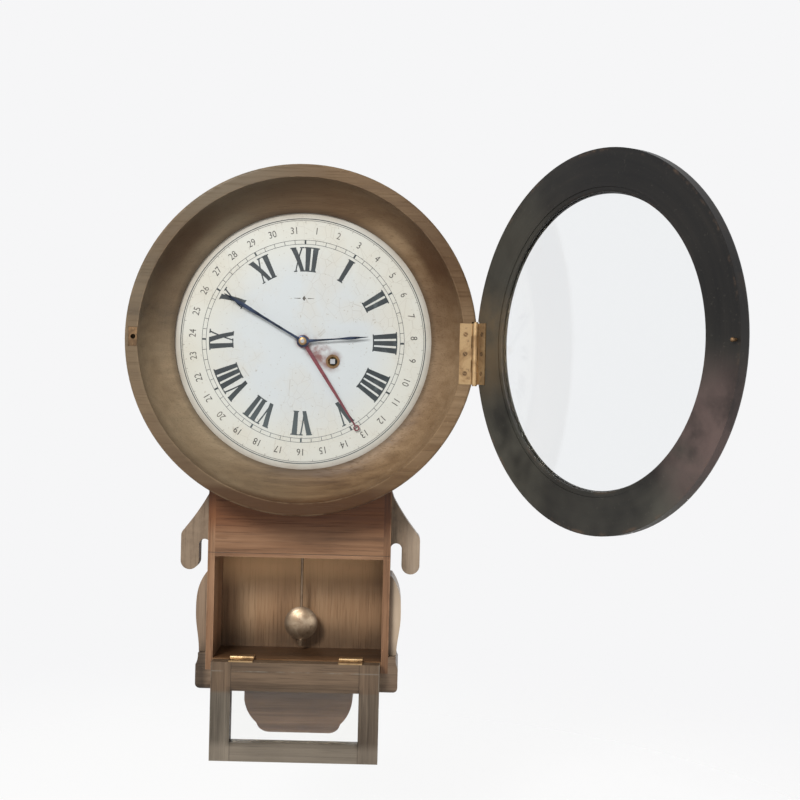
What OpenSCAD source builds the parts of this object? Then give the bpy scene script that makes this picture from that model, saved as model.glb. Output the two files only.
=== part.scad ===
// Calendar wall clock: a round dished head over a short glazed trunk.
// Millimetres, +Z up. The origin is on the wall plane, at the dial's axis, and the front faces -Y.
// Depths, written d, are counted forward from the wall, so a point at depth d has y = -d.
// The glazed bezel stands open on its hinge at the right, and the trunk door hangs open.

/* [Head] */
// Diameter of the turned surround that carries the dial
head_d = 289; // [280:1:298]
// Depth of the case from the wall to the front of the surround
case_depth = 105; // [103:1:115]
// Diameter of the dial that shows inside the surround
dial_seen_d = 215; // [206:1:218]
// How far the dial lies behind the front of the surround
dial_recess = 28; // [27:0.5:29]
// Hollow of the dished face, measured from its chord
dish_hollow = 5; // [2:0.5:7]
// Width of the flat rim round the dish
rim_w = 10.5; // [9.5:0.5:12]
// How far the surround overhangs the drum behind it
surround_overhang = 16.5; // [13.5:0.5:19]
// Wall of the bent drum
drum_wall = 8; // [6:0.5:9]
// Thickness of the back board
board_t = 8; // [8:0.5:9]
// Thickness of the dial plate
dial_t = 1; // [0.8:0.1:1.2]

/* [Bezel] */
// How far the bezel ring stands back from the edge of the surround
bezel_inset = 2.5; // [2:0.5:4]
// Thickness of the bezel ring
bezel_t = 12; // [11:0.5:14]
// Diameter of the glass that shows in the bezel
bezel_sight_d = 218; // [212:1:220]
// Thickness of the bezel glass
bezel_glass_t = 2.5; // [2:0.25:3]
// How far the bezel stands open in the drawn pose, in degrees
bezel_open = 124; // [90:1:150]
// Length of the bezel hinge
bezel_hinge_len = 50; // [40:1:56]
// Height of the middle of the bezel hinge, from the dial's axis
bezel_hinge_z = -8; // [-12:1:0]

/* [Trunk] */
// Width of the trunk over its side boards
trunk_w = 155; // [151:1:158]
// Depth of the trunk from the wall to the front edges of its sides
trunk_depth = 65; // [63:0.5:66]
// Thickness of the side boards
side_t = 6; // [5.5:0.5:7]
// Height of the foot of the trunk, from the dial's axis
trunk_foot_z = -280; // [-284:1:-279]
// Thickness of the bottom board
bottom_t = 10; // [9:0.5:11]
// Thickness of the front board over the opening
front_t = 8; // [7:0.5:9]
// Height of the opening that the door fills
opening_h = 84; // [80:1:88]
// Step by which the base moulding stands out from the sides
base_step = 8.5; // [7:0.5:10]
// Height of the moulding below the foot of the trunk
base_drop = 17; // [15:1:18]
// Bulge of the shaped strips on the sides
strip_bulge = 10; // [8:0.5:11]
// Width of the chin at its top
chin_w = 94; // [88:1:98]
// Height of the chin
chin_h = 46; // [42:1:50]
// Thickness of the chin, from the wall forward
chin_t = 34; // [28:1:40]
// Reach of each ear beyond the side board
ear_reach = 25; // [23:0.5:28]
// Thickness of an ear, from back to front
ear_t = 16; // [12:1:20]

/* [Door] */
// Thickness of the door
door_t = 12; // [11:0.5:13]
// Width of the door's stiles
door_stile_w = 17; // [15:0.5:18.5]
// Width of the rail at the door's free edge
door_free_rail_w = 16; // [14:0.5:18]
// Width of the rail at the door's hinged edge
door_hinge_rail_w = 24; // [21:0.5:26]
// Thickness of the door glass
door_glass_t = 2; // [1.75:0.25:2.5]

/* [Hands and dial] */
// Length of the minute hand from its axis
minute_len = 77; // [70:1:80]
// Length of the hour hand from its axis
hour_len = 55; // [50:1:60]
// Length of the calendar hand from its axis
calendar_len = 88; // [82:1:92]
// Direction of the minute hand in the drawn pose, in degrees clockwise from XII
minute_at = 300; // [0:1:359]
// Direction of the hour hand in the drawn pose, in degrees clockwise from XII
hour_at = 85; // [0:1:359]
// Direction of the calendar hand in the drawn pose, in degrees clockwise from XII
calendar_at = 147; // [0:1:359]

/* [Movement] */
// Thickness of the movement's plates
plate_t = 1.5; // [1.2:0.1:1.8]
// Teeth of the great wheel
great_teeth = 72; // [70:1:74]
// Teeth of the second wheel
second_teeth = 48; // [47:1:49]
// Teeth of the centre wheel
centre_teeth = 72; // [71:1:73]
// Teeth of the third wheel
third_teeth = 56; // [55:1:57]
// Teeth of the escape wheel
escape_teeth = 30; // [26:2:34]
// Length of the pendulum from its suspension pin to the middle of the bob
pendulum_len = 290; // [285:1:291]
// Diameter of the bob
bob_d = 29; // [26:1:32]
// Thickness of the bob
bob_t = 10; // [8:0.5:12]

/* [Hidden] */

// Small sizes shared by several pieces
round_fn = 96;
big_fn = 180;
run = 0.05;
press = 0.01;
snug = 0.2;
leaf_t = 1.2;
screw_r = 1.1;
screw_head_r = 2.1;
screw_len = 7;
dial_screw_len = 2.8;
dial_screw_head_t = 1.2;

// Head
head_r = head_d / 2;
drum_r = head_r - surround_overhang;
dial_front = case_depth - dial_recess;
dial_back = dial_front - dial_t;
sight_r = dial_seen_d / 2;
dial_r = sight_r + 6;
dial_seat_clear = 0.4;
lip_t = 2;
surround_t = 7;
surround_back = dial_back - surround_t;
edge_round = 2;

// Bezel, drawn shut: its back lies on the joint plane, one gap in front of the surround
bezel_r = head_r - bezel_inset;
bezel_gap = 1;
bezel_back = case_depth + bezel_gap;
bezel_sight_r = bezel_sight_d / 2;
glass_seat = 4.5;
glass_r = bezel_sight_r + glass_seat;
bezel_hinge_d = case_depth + bezel_gap / 2;
knuckle_r = 3;
hinge_pin_r = 1.2;
pin_cap_t = 1.2;
bezel_hinge_x = bezel_r + 1;
bezel_leaf_w = 10;
leaf_gap = 0.1;
leaf_inset = leaf_t + leaf_gap / 2 - bezel_gap / 2;
knuckles = 5;
catch_x = -(head_r - rim_w + 3.5);
catch_pin_r = 1.2;
catch_hole_r = 2.4;
catch_len = 6;

// Trunk
trunk_x = trunk_w / 2;
inside_x = trunk_x - side_t;
floor_top = trunk_foot_z + bottom_t;
door_hinge_z = floor_top + leaf_t + leaf_gap / 2;
door_low = door_hinge_z + leaf_t + leaf_gap / 2;
door_clear = 0.8;
opening_top = door_low + opening_h;
door_high = opening_top - door_clear;
door_x = inside_x - door_clear;
door_knuckle_r = 2.2;
door_pin_r = 0.9;
door_hinge_d = trunk_depth + door_knuckle_r + 0.2;
door_hinge_at = 46;
door_hinge_len = 20;
door_leaf_w = 12;
door_knuckles = 3;
base_top = floor_top + 4;
base_low = trunk_foot_z - base_drop;
base_x = trunk_x + base_step;
strip_low = base_top + snug;
strip_back = 20;
strip_front = trunk_depth - 7;
ear_x = trunk_x + ear_reach;
ear_top_z = -126;
ear_foot_z = -197;
ear_gap = 9.5;
ear_back = trunk_depth - ear_t - 13;
strip_high = ear_foot_z - 1;
chin_top = base_low;
chin_foot = chin_top - chin_h;

// Movement: what its plates and pillars share, then places of the arbors
post_r = 6;
pillar_r = 3;
pillar_stud_r = 1.5;
pillar_x = [-25, 49];
pillar_z = [-42, 51];
plate_margin = 6;
mesh_play = 0.06;
pin_share = 0.55;

great_module = 0.7;
great_leaves = 8;
second_module = 0.8;
second_leaves = 12;
centre_module = 0.6;
centre_leaves = 6;
third_module = 0.55;
third_leaves = 6;

function reach(teeth, leaves, m) = (teeth + leaves) * m / 2;
// Where an arbor stands that is ra from point a and rb from point b, on the left of the way from a to b
function meet(a, ra, b, rb) =
    let (c = norm(b - a), u = (b - a) / c, v = [-u[1], u[0]],
         s = (ra * ra - rb * rb + c * c) / (2 * c))
    a + u * s + v * sqrt(ra * ra - s * s);
function way(a, b) = atan2(b[1] - a[1], b[0] - a[0]);

centre_p = [0, 0];
great_p = [25.2, -16.3];
escape_p = [0, 26];
verge_p = [0, 44];
second_p = meet(great_p, reach(great_teeth, great_leaves, great_module),
    centre_p, reach(second_teeth, second_leaves, second_module));
third_p = meet(centre_p, reach(centre_teeth, centre_leaves, centre_module),
    escape_p, reach(third_teeth, third_leaves, third_module));

arbor_r = 1.2;
core_r = 0.6;
pivot_r = 0.7;
centre_r = 1.6;
great_arbor_r = 3;
wheel_t = 1.5;
shroud_t = 1;
end_shake = 0.3;
wheel_gap = 1.5;
near_gap = 0.6;
great_t = 2;
ratchet_t = 1.4;
calendar_t = 1;
hour_leaf_w = 2;
spring_w = 14;

// Depths, counted back from the dial: the motion work, the front plate, the train, the back plate
calendar_room = 3.1;
calendar_d = dial_back - calendar_room - calendar_t;
hour_leaf_d = calendar_d - near_gap - hour_leaf_w;
hour_wheel_d = hour_leaf_d - wheel_t;
minute_leaf_d = hour_wheel_d - 1.8;
minute_wheel_d = minute_leaf_d - wheel_t;
cannon_d = minute_wheel_d - 0.4;
drive_d = hour_leaf_d + 0.4;
plate_front_d = cannon_d - near_gap - plate_t;
great_d = plate_front_d - wheel_gap - great_t;
ratchet_d = great_d - 0.5 - ratchet_t;
centre_d = ratchet_d - near_gap - wheel_t;
second_d = centre_d - wheel_gap - wheel_t;
spring_d = second_d - wheel_gap - spring_w;
plate_back_d = spring_d - 2.5 - plate_t;
third_d = plate_back_d + plate_t + 6.5;
escape_d = third_d + wheel_t + 4.5;

escape_t = 1.2;
escape_r = 11;
ratchet_teeth = 20;
ratchet_r = 8;
spring_r = 22.5;
spring_turns = 8;
spring_t = 0.5;

// Motion work in front of the front plate
work_turn = 225;
calendar_turn = 150;
cannon_teeth = 12;
minute_teeth = 36;
minute_leaves = 10;
hour_teeth = 40;
cannon_module = 0.75;
hour_module = 0.72;
work_reach = (cannon_teeth + minute_teeth) * cannon_module / 2;
hour_leaves = 20;
drive_teeth = 40;
drive_module = 0.6;
minute_p = work_reach * [cos(work_turn), sin(work_turn)];
drive_p = work_reach * [cos(calendar_turn), sin(calendar_turn)];
calendar_teeth = 31;
calendar_r = 13;
finger_r = 0.6;
detent_turn = 75;
detent_stud_at = calendar_r + 11;
cannon_pipe_r = 2.2;
hour_pipe_r = 2.9;
calendar_pipe_r = 3.6;
dial_hole_r = 4.2;
calendar_hand_d = dial_front + 2;
hour_hand_d = calendar_hand_d + 2;
minute_hand_d = hour_hand_d + 2;
hand_t = 0.6;
minute_boss_r = 4;
minute_root_w = 2.4;
minute_belly_w = 4.2;
hour_boss_r = 5;
hour_root_w = 3;
hour_belly_w = 6.5;
calendar_boss_r = 5.4;
calendar_root_w = 2;
calendar_belly_w = 1.8;
calendar_eye_r = 2.6;

// Pendulum, between the back board and the back plate
rod_share = 7 / 12;
rod_d = board_t + (plate_back_d - board_t) * rod_share;
rod_r = 1.2;
suspension_pin_r = 0.8;
block_r = 2.4;
block_t = 4;
cheek_t = 1.5;
cheek_gap = 0.3;
cheek_front = rod_d + block_t / 2 + cheek_gap + cheek_t;
crutch_share = 0.44;
crutch_t = 1.2;
crutch_d = cheek_front + (plate_back_d - cheek_front - crutch_t) * crutch_share;
crutch_z = 8;
bob_z = verge_p[1] - pendulum_len;
nut_len = 5;

// Colours
wood = [0.42, 0.29, 0.20];
wood_dark = [0.16, 0.11, 0.09];
wood_light = [0.55, 0.43, 0.32];
brass = [0.75, 0.58, 0.30];
steel = [0.55, 0.56, 0.58];
blue_steel = [0.12, 0.14, 0.20];
glass = [0.80, 0.88, 0.90, 0.35];
paint = [0.92, 0.91, 0.86];

// Local X and Y become X and Z, and local Z points forward from depth d
module at(p, d) translate([p[0], -d, p[1]]) rotate([90, 0, 0]) children();

// A round bar or disc that points forward, from depth d0 to d1
module rod(p, r, d0, d1) at(p, d0) cylinder(r = r, h = d1 - d0, $fn = round_fn);

// A block from corner to corner in X and Z, from depth d0 to d1
module slab(x0, x1, z0, z1, d0, d1)
    translate([x0, -d1, z0]) cube([x1 - x0, d1 - d0, z1 - z0]);

// Places a copy at the left and one at the right
module both_sides() {
    children();
    mirror([1, 0, 0]) children();
}

// Points on a round arc about a centre
function arc(c, r, a0, a1, n) =
    [for (i = [0:n]) let (a = a0 + (a1 - a0) * i / n) c + r * [cos(a), sin(a)]];

// Points on the arc from a to b that stands s to the left of its chord
function bow(a, b, s, n) =
    let (c = norm(b - a), r = (c * c / 4 + s * s) / (2 * s), u = (b - a) / c,
         v = [-u[1], u[0]], o = (a + b) / 2 + v * (s - r), half = asin(c / 2 / r))
    [for (i = [0:n]) let (t = -half + 2 * half * i / n) o + r * (u * sin(t) + v * cos(t))];

function turned(p, a) = [p[0] * cos(a) - p[1] * sin(a), p[0] * sin(a) + p[1] * cos(a)];
function flipped(p) = [p[0], -p[1]];
function backwards(l) = [for (i = [len(l) - 1:-1:0]) l[i]];

// A rectangle with round corners, as exact arcs
module round_rect(x0, x1, z0, z1, r) {
    translate([x0 + r, z0]) square([x1 - x0 - 2 * r, z1 - z0]);
    translate([x0, z0 + r]) square([x1 - x0, z1 - z0 - 2 * r]);
    for (x = [x0 + r, x1 - r])
        for (z = [z0 + r, z1 - r])
            translate([x, z]) circle(r = r, $fn = 48);
}

// Wheel that drives a lantern pinion. Its flank lies one pin radius inside the path of a pin's centre.
function pin_path(big, small, t) =
    (big + small) * [cos(t), sin(t)]
    - small * [cos(t * (big + small) / small), sin(t * (big + small) / small)];
function pin_flank(big, small, pin, t) =
    let (p = pin_path(big, small, t), c = big * [cos(t), sin(t)])
    p + pin * (c - p) / norm(c - p);
function lantern_points(teeth, leaves, m) =
    let (big = teeth * m / 2, small = leaves * m / 2, pin = pin_share * m,
         pitch = 360 / teeth, play = mesh_play / big * 180 / PI, last = pitch * 1.05,
         low = big - pin - 0.25 * m, start = pin_flank(big, small, pin, last * 0.2),
         side = [for (s = [0.2, 0.6, 0.85, 1])
             turned(pin_flank(big, small, pin, last * s), play)],
         root = low * [cos(way([0, 0], side[0])), sin(way([0, 0], side[0]))],
         half = concat([root], side))
    [for (k = [0:teeth - 1]) each concat(
        [for (p = half) turned(p, k * pitch)],
        [for (p = backwards(half)) turned(flipped(p), (k + 1) * pitch)])];
function lantern_low(teeth, m) = teeth * m / 2 - (pin_share + 0.25) * m;

// Ordinary gear with involute teeth, steep enough for small pinions
tooth_lean = 28;
function spread(t) = tan(t) * 180 / PI - t;
function gear_points(teeth, m) =
    let (pitch_r = teeth * m / 2, base_r = pitch_r * cos(tooth_lean),
         tip_r = pitch_r + 0.85 * m, low_r = pitch_r - 1.15 * m, step = 360 / teeth,
         half = step / 4 - mesh_play / pitch_r * 90 / PI + spread(tooth_lean),
         from = max(base_r, low_r),
         flank = [for (i = [0:3])
             let (r = from + (tip_r - from) * i / 3, t = acos(base_r / r)) [r, half - spread(t)]],
         side = concat([[low_r, flank[0][1]]], flank))
    [for (k = [0:teeth - 1]) each concat(
        [for (p = side) p[0] * [cos(k * step - p[1]), sin(k * step - p[1])]],
        [for (p = backwards(side)) p[0] * [cos(k * step + p[1]), sin(k * step + p[1])]])];

// Saw teeth, as on ratchet, escape and calendar wheels
function saw_points(teeth, r, low, lean) =
    [for (k = [0:teeth - 1]) let (a = 360 * k / teeth)
        each [r * [cos(a), sin(a)], low * [cos(a + lean), sin(a + lean)],
              low * [cos(a + 360 / teeth - 1), sin(a + 360 / teeth - 1)]]];

// A wheel blank with spokes, crossed out between rim and hub
module crossed(points, rim_r, hub_r, spokes, bore, t) {
    linear_extrude(t) difference() {
        polygon(points);
        difference() {
            circle(r = rim_r, $fn = round_fn);
            circle(r = hub_r, $fn = round_fn);
            for (k = [0:spokes - 1])
                rotate(k * 360 / spokes) translate([0, -0.9]) square([rim_r + 1, 1.8]);
        }
        circle(r = bore, $fn = round_fn);
    }
}

// Lantern pinion: pins between two shrouds. A core of 0 leaves the middle to its arbor.
module lantern(leaves, m, gap, core) {
    r = leaves * m / 2;
    pin = pin_share * m;
    for (z = [-shroud_t, gap])
        translate([0, 0, z]) cylinder(r = r + pin + 0.4, h = shroud_t, $fn = round_fn);
    if (core > 0) cylinder(r = core, h = gap, $fn = round_fn);
    for (k = [0:leaves - 1])
        rotate(k * 360 / leaves) translate([r, 0, 0]) cylinder(r = pin, h = gap, $fn = 24);
}

// Arbor between the plates, with a pivot in each
module arbor(p, r) {
    rod(p, r, plate_back_d + plate_t + end_shake, plate_front_d - end_shake);
    rod(p, pivot_r, plate_back_d + 0.2, plate_front_d + plate_t - 0.2);
}

// Wood screw seen from the front: countersunk head at depth d, shank going back
module wood_screw(p, d, length) {
    at(p, d - screw_head_r + screw_r)
        cylinder(r1 = screw_r, r2 = screw_head_r, h = screw_head_r - screw_r, $fn = 32);
    at(p, d - length) cylinder(r = screw_r, h = length - screw_head_r + screw_r, $fn = 32);
}
module screw_room(p, d, length) {
    at(p, d - screw_head_r + screw_r - run)
        cylinder(r1 = screw_r + run, r2 = screw_head_r + 2 * run,
            h = screw_head_r - screw_r + 2 * run, $fn = 32);
    at(p, d - length - run) cylinder(r = screw_r + run, h = length, $fn = 32);
}

// Places of the screws
hanger_z = drum_r - 22;
hanger_half = 20;
hanger_half_h = 12;
hanger_screw_x = 14;
hanger_r = 4;
hanger_t = 2;
dial_screw_at = [45, 135, 225, 315];
dial_screw_r = dial_r - 3;
function round_at(r, a) = r * [cos(a), sin(a)];
bezel_screw_z = [bezel_hinge_z - 16, bezel_hinge_z, bezel_hinge_z + 16];
bezel_screw_x = bezel_hinge_x - 8.2;

// Case

module back_board() {
    color(wood) difference() {
        union() {
            at([0, 0], 0) cylinder(r = drum_r, h = board_t, $fn = big_fn);
            slab(-inside_x + snug, inside_x - snug, trunk_foot_z, 0, 0, board_t);
        }
        slab(-hanger_half - run, hanger_half + run, hanger_z - hanger_half_h - run,
            hanger_z + hanger_half_h + run, -1, hanger_t);
        rod([0, hanger_z], hanger_r * 2, 0, board_t - 2);
        for (x = [-hanger_screw_x, hanger_screw_x])
            rod([x, hanger_z], screw_r + run, 0, board_t - 1);
    }
}

module head_drum() {
    color(wood) difference() {
        at([0, 0], board_t) cylinder(r = drum_r, h = surround_back - board_t, $fn = big_fn);
        at([0, 0], board_t - 1)
            cylinder(r = drum_r - drum_wall, h = surround_back, $fn = big_fn);
        slab(-inside_x, inside_x, -head_r, -drum_r / 2, board_t - 1, trunk_depth - front_t);
    }
}

module dial_surround() {
    rim_in = head_r - rim_w;
    color(wood_light) difference() {
        at([0, 0], 0) rotate_extrude($fn = big_fn) polygon(concat(
            [[head_r, surround_back]],
            arc([head_r - edge_round, case_depth - edge_round], edge_round, 0, 90, 5),
            bow([rim_in, case_depth], [sight_r, dial_front + lip_t], dish_hollow, 14),
            [[sight_r, dial_front], [dial_r + dial_seat_clear, dial_front],
             [dial_r + dial_seat_clear, surround_back]]));
        hinge_cut(case_depth - leaf_inset, case_depth + 1);
        for (z = bezel_screw_z)
            screw_room([bezel_screw_x, z], case_depth - leaf_inset + leaf_t, screw_len);
        rod([catch_x, 0], catch_hole_r, case_depth - catch_len - 1, case_depth + 1);
        slab(catch_x - 4, catch_x + 3.5, -8, 8, case_depth - 1, case_depth + 1);
        for (z = [-6, 6])
            rod([catch_x, z], 0.8 + run, case_depth - 5, case_depth);
        for (a = dial_screw_at)
            rod(round_at(dial_screw_r, a), screw_r + run, dial_front - 1,
                dial_front + dial_screw_len - dial_t + run);
    }
}

// Room for the bezel hinge in the wood: the leaf's mortise and the barrel's groove
module hinge_cut(d0, d1) {
    half = bezel_hinge_len / 2 + snug;
    slab(bezel_hinge_x - bezel_leaf_w - knuckle_r - snug, bezel_hinge_x + 5,
        bezel_hinge_z - half, bezel_hinge_z + half, d0, d1);
    translate([bezel_hinge_x, -bezel_hinge_d, bezel_hinge_z - half - pin_cap_t])
        cylinder(r = knuckle_r + 0.4, h = 2 * (half + pin_cap_t), $fn = round_fn);
}

// Room that the head takes out of the trunk's boards: the drum, then the wider surround
module head_room() {
    at([0, 0], -1) cylinder(r = drum_r + snug, h = trunk_depth + 2, $fn = big_fn);
    at([0, 0], surround_back - snug)
        cylinder(r = head_r + snug, h = case_depth, $fn = big_fn);
}

module trunk_side() {
    color(wood) difference() {
        slab(inside_x, trunk_x, trunk_foot_z, 0, 0, trunk_depth);
        head_room();
    }
}
module trunk_side_right() trunk_side();
module trunk_side_left() mirror([1, 0, 0]) trunk_side();

module trunk_front() {
    color(wood) difference() {
        slab(-inside_x, inside_x, opening_top, 0, trunk_depth - front_t, trunk_depth);
        head_room();
    }
}

module trunk_bottom() {
    color(wood) slab(-inside_x, inside_x, trunk_foot_z, floor_top, board_t, trunk_depth);
}

module base_moulding() {
    nose_r = 5;
    color(wood_light) difference() {
        intersection() {
            at([0, 0], 0) linear_extrude(trunk_depth) polygon(concat(
                [[-base_x + 2, base_top], [base_x - 2, base_top]],
                bow([base_x - 2, base_top - 1], [base_x, base_top - 10], -0.6, 6),
                arc([base_x - nose_r, base_low + nose_r], nose_r, 0, -90, 8),
                arc([-base_x + nose_r, base_low + nose_r], nose_r, 270, 180, 8),
                bow([-base_x, base_top - 10], [-base_x + 2, base_top - 1], -0.6, 6)));
            rotate([90, 0, 90]) translate([0, 0, -base_x - 1])
                linear_extrude(2 * base_x + 2) polygon(concat(
                    [[0, base_low], [0, base_top], [-trunk_depth, base_top]],
                    arc([-trunk_depth + nose_r, base_low + nose_r], nose_r, 180, 270, 8)));
        }
        slab(-trunk_x, trunk_x, trunk_foot_z, base_top + 1, -1, trunk_depth + 1);
    }
}

module side_strips() {
    color(wood_light) both_sides()
        at([0, 0], strip_back) linear_extrude(strip_front - strip_back) polygon(concat(
            [[trunk_x, strip_low]],
            [for (i = [0:24]) let (s = i / 24, drawn_in = s < 0.5 ? 0.16 * (1 + cos(360 * s))
                : 0.85 * pow(2 * s - 1, 3))
                [trunk_x + strip_bulge * (1 - drawn_in),
                 strip_low + (strip_high - strip_low) * s]],
            [[trunk_x, strip_high]]));
}

module ear() {
    gap_x = trunk_x + ear_gap;
    color(wood) at([0, 0], ear_back) linear_extrude(ear_t) polygon(concat(
        [[trunk_x, ear_top_z]],
        bow([trunk_x + 2, ear_top_z - 6], [ear_x - 3.5, ear_top_z - 35], -0.8, 7),
        bow([ear_x - 3, ear_top_z - 36], [ear_x, ear_top_z - 42], 0.8, 5),
        bow([ear_x, ear_foot_z + 7], [gap_x, ear_foot_z + 7], 7, 12),
        bow([gap_x, ear_foot_z + 21], [trunk_x, ear_foot_z + 23], -4.5, 8)));
}
module ear_right() ear();
module ear_left() mirror([1, 0, 0]) ear();

module chin() {
    half = chin_w / 2;
    color(wood_light) intersection() {
        at([0, 0], 0) linear_extrude(chin_t) polygon(concat(
            [[-half, chin_top], [half, chin_top]],
            bow([half, chin_top - 15], [half - 10, chin_foot + 10], 1.8, 7),
            bow([half - 10.5, chin_foot + 9], [half - 22, chin_foot], 2.8, 7),
            bow([-half + 22, chin_foot], [-half + 10.5, chin_foot + 9], 2.8, 7),
            bow([-half + 10, chin_foot + 10], [-half, chin_top - 15], 1.8, 7)));
        rotate([90, 0, 90]) translate([0, 0, -half - 1]) linear_extrude(chin_w + 2)
            polygon(concat([[0, chin_foot], [0, chin_top], [-chin_t, chin_top]],
                bow([-chin_t, chin_top - 9], [-chin_t + 14, chin_foot], -4, 8)));
    }
}

module hanger_plate() {
    color(brass) difference() {
        at([0, hanger_z], 0) linear_extrude(hanger_t)
            round_rect(-hanger_half, hanger_half, -hanger_half_h, hanger_half_h, 3);
        at([0, hanger_z], -1) cylinder(r = hanger_r, h = hanger_t + 2, $fn = round_fn);
        for (x = [-hanger_screw_x, hanger_screw_x])
            rod([x, hanger_z], screw_r + run, -1, hanger_t + 1);
    }
}

module case_screws() {
    color(brass) {
        for (z = bezel_screw_z)
            wood_screw([bezel_screw_x, z], case_depth - leaf_inset + leaf_t, screw_len);
        for (z = [-6, 6])
            rod([catch_x, z], 0.8, case_depth - 4.8, case_depth);
    }
    color(steel) for (x = [-hanger_screw_x, hanger_screw_x])
        rod([x, hanger_z], screw_r, 0, board_t - 1.2);
}

module dial() {
    color(paint) difference() {
        at([0, 0], dial_back) cylinder(r = dial_r, h = dial_t, $fn = big_fn);
        rod([0, 0], dial_hole_r, dial_back - 1, dial_front + 1);
        rod(great_p, bush_r + run, dial_back - 1, dial_front + 1);
        for (a = dial_screw_at)
            rod(round_at(dial_screw_r, a), screw_r + run, dial_back - 1, dial_front + 1);
    }
}

bush_r = 4.8;
bush_bore = 4;
module winding_bush() {
    color(brass) difference() {
        union() {
            rod(great_p, bush_r, dial_back, dial_front + 0.4);
            rod(great_p, bush_r + 1, dial_front, dial_front + 0.6);
        }
        rod(great_p, bush_bore, dial_back - 1, dial_front + 2);
    }
}

// Round-headed screws that hold the dial from behind
module dial_screws() {
    color(steel) for (a = dial_screw_at) {
        rod(round_at(dial_screw_r, a), screw_r, dial_back,
            dial_back + dial_screw_len - snug);
        rod(round_at(dial_screw_r, a), screw_head_r, dial_back - dial_screw_head_t, dial_back);
    }
}

// Hinges: knuckles k of a barrel along local Z, centred on the origin
module knuckle_row(length, count, r, bore, odd) {
    step = length / count;
    for (k = [(odd ? 1 : 0):2:count - 1])
        translate([0, 0, -length / 2 + k * step + (k > 0 ? run : 0)])
            difference() {
                cylinder(r = r, h = step - (k > 0 ? run : 0) - (k < count - 1 ? run : 0),
                    $fn = round_fn);
                translate([0, 0, -1]) cylinder(r = bore, h = step + 2, $fn = round_fn);
            }
}
// Plates that join the knuckles to their leaf, cut clear of the other leaf's knuckles
module leaf_tabs(length, count, width, t, odd) {
    step = length / count;
    for (k = [(odd ? 1 : 0):2:count - 1])
        translate([-width, 0, -length / 2 + k * step + (k > 0 ? run : 0)])
            cube([width, t, step - (k > 0 ? run : 0) - (k < count - 1 ? run : 0)]);
}

// One leaf of the bezel hinge, in the hinge's own frame: barrel along Z, leaf towards -X
module bezel_leaf_shape(odd) {
    reach_x = knuckle_r + leaf_gap * 4;
    difference() {
        union() {
            knuckle_row(bezel_hinge_len, knuckles, knuckle_r, hinge_pin_r + (odd ? run : 0), odd);
            difference() {
                translate([0, leaf_gap / 2, 0])
                    leaf_tabs(bezel_hinge_len, knuckles, reach_x + 0.2, leaf_t, odd);
                translate([0, 0, -bezel_hinge_len])
                    cylinder(r = hinge_pin_r + 0.2, h = 2 * bezel_hinge_len, $fn = round_fn);
            }
            translate([-bezel_leaf_w - knuckle_r, leaf_gap / 2, -bezel_hinge_len / 2])
                cube([bezel_leaf_w + knuckle_r - reach_x, leaf_t, bezel_hinge_len]);
        }
        for (z = bezel_screw_z)
            translate([bezel_screw_x - bezel_hinge_x, leaf_gap / 2, z - bezel_hinge_z])
                rotate([-90, 0, 0]) {
                    cylinder(r1 = screw_head_r + 2 * run, r2 = screw_r + run,
                        h = screw_head_r - screw_r + run, $fn = 32);
                    cylinder(r = screw_r + run, h = leaf_t + 1, $fn = 32);
                }
    }
}

module bezel_hinge_leaf() {
    color(brass) translate([bezel_hinge_x, -bezel_hinge_d, bezel_hinge_z])
        bezel_leaf_shape(false);
}

module bezel_hinge_pin() {
    color(brass) translate([bezel_hinge_x, -bezel_hinge_d, bezel_hinge_z]) {
        translate([0, 0, -bezel_hinge_len / 2])
            cylinder(r = hinge_pin_r, h = bezel_hinge_len, $fn = round_fn);
        for (z = [-1, 1])
            translate([0, 0, z * (bezel_hinge_len + pin_cap_t) / 2 - pin_cap_t / 2])
                cylinder(r = hinge_pin_r + 0.8, h = pin_cap_t, $fn = round_fn);
    }
}

module catch_plate() {
    color(brass) difference() {
        slab(catch_x - 3.8, catch_x + 3.3, -7.8, 7.8, case_depth - 1, case_depth);
        rod([catch_x, 0], catch_hole_r - 0.4, case_depth - 2, case_depth + 1);
        for (z = [-6, 6])
            rod([catch_x, z], 0.8 + run, case_depth - 2, case_depth + 1);
    }
}

// Movement

module corners() {
    for (x = pillar_x)
        for (z = pillar_z)
            at([x, z], 0) children();
}

module movement_posts() {
    color(wood_light) corners() translate([0, 0, board_t]) difference() {
        cylinder(r = post_r, h = plate_back_d - board_t, $fn = round_fn);
        translate([0, 0, plate_back_d - board_t - 8])
            cylinder(r = pillar_stud_r + run, h = 9, $fn = round_fn);
    }
}

module plate_sheet(d) {
    at([0, 0], d) linear_extrude(plate_t)
        round_rect(pillar_x[0] - plate_margin, pillar_x[1] + plate_margin,
            pillar_z[0] - plate_margin, pillar_z[1] + plate_margin, plate_margin);
}

module back_plate() {
    color(brass) difference() {
        plate_sheet(plate_back_d);
        corners() translate([0, 0, plate_back_d - 1])
            cylinder(r = pillar_stud_r + run, h = plate_t + 2, $fn = round_fn);
        for (p = [centre_p, second_p, third_p, escape_p, great_p])
            rod(p, pivot_r + run, plate_back_d - 1, plate_back_d + plate_t + 1);
        rod(verge_p, arbor_r + run, plate_back_d - 1, plate_back_d + plate_t + 1);
        for (x = cock_screw_x)
            rod([x, cock_z], screw_r + run, plate_back_d - 1, plate_back_d + plate_t + 1);
    }
}

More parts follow.
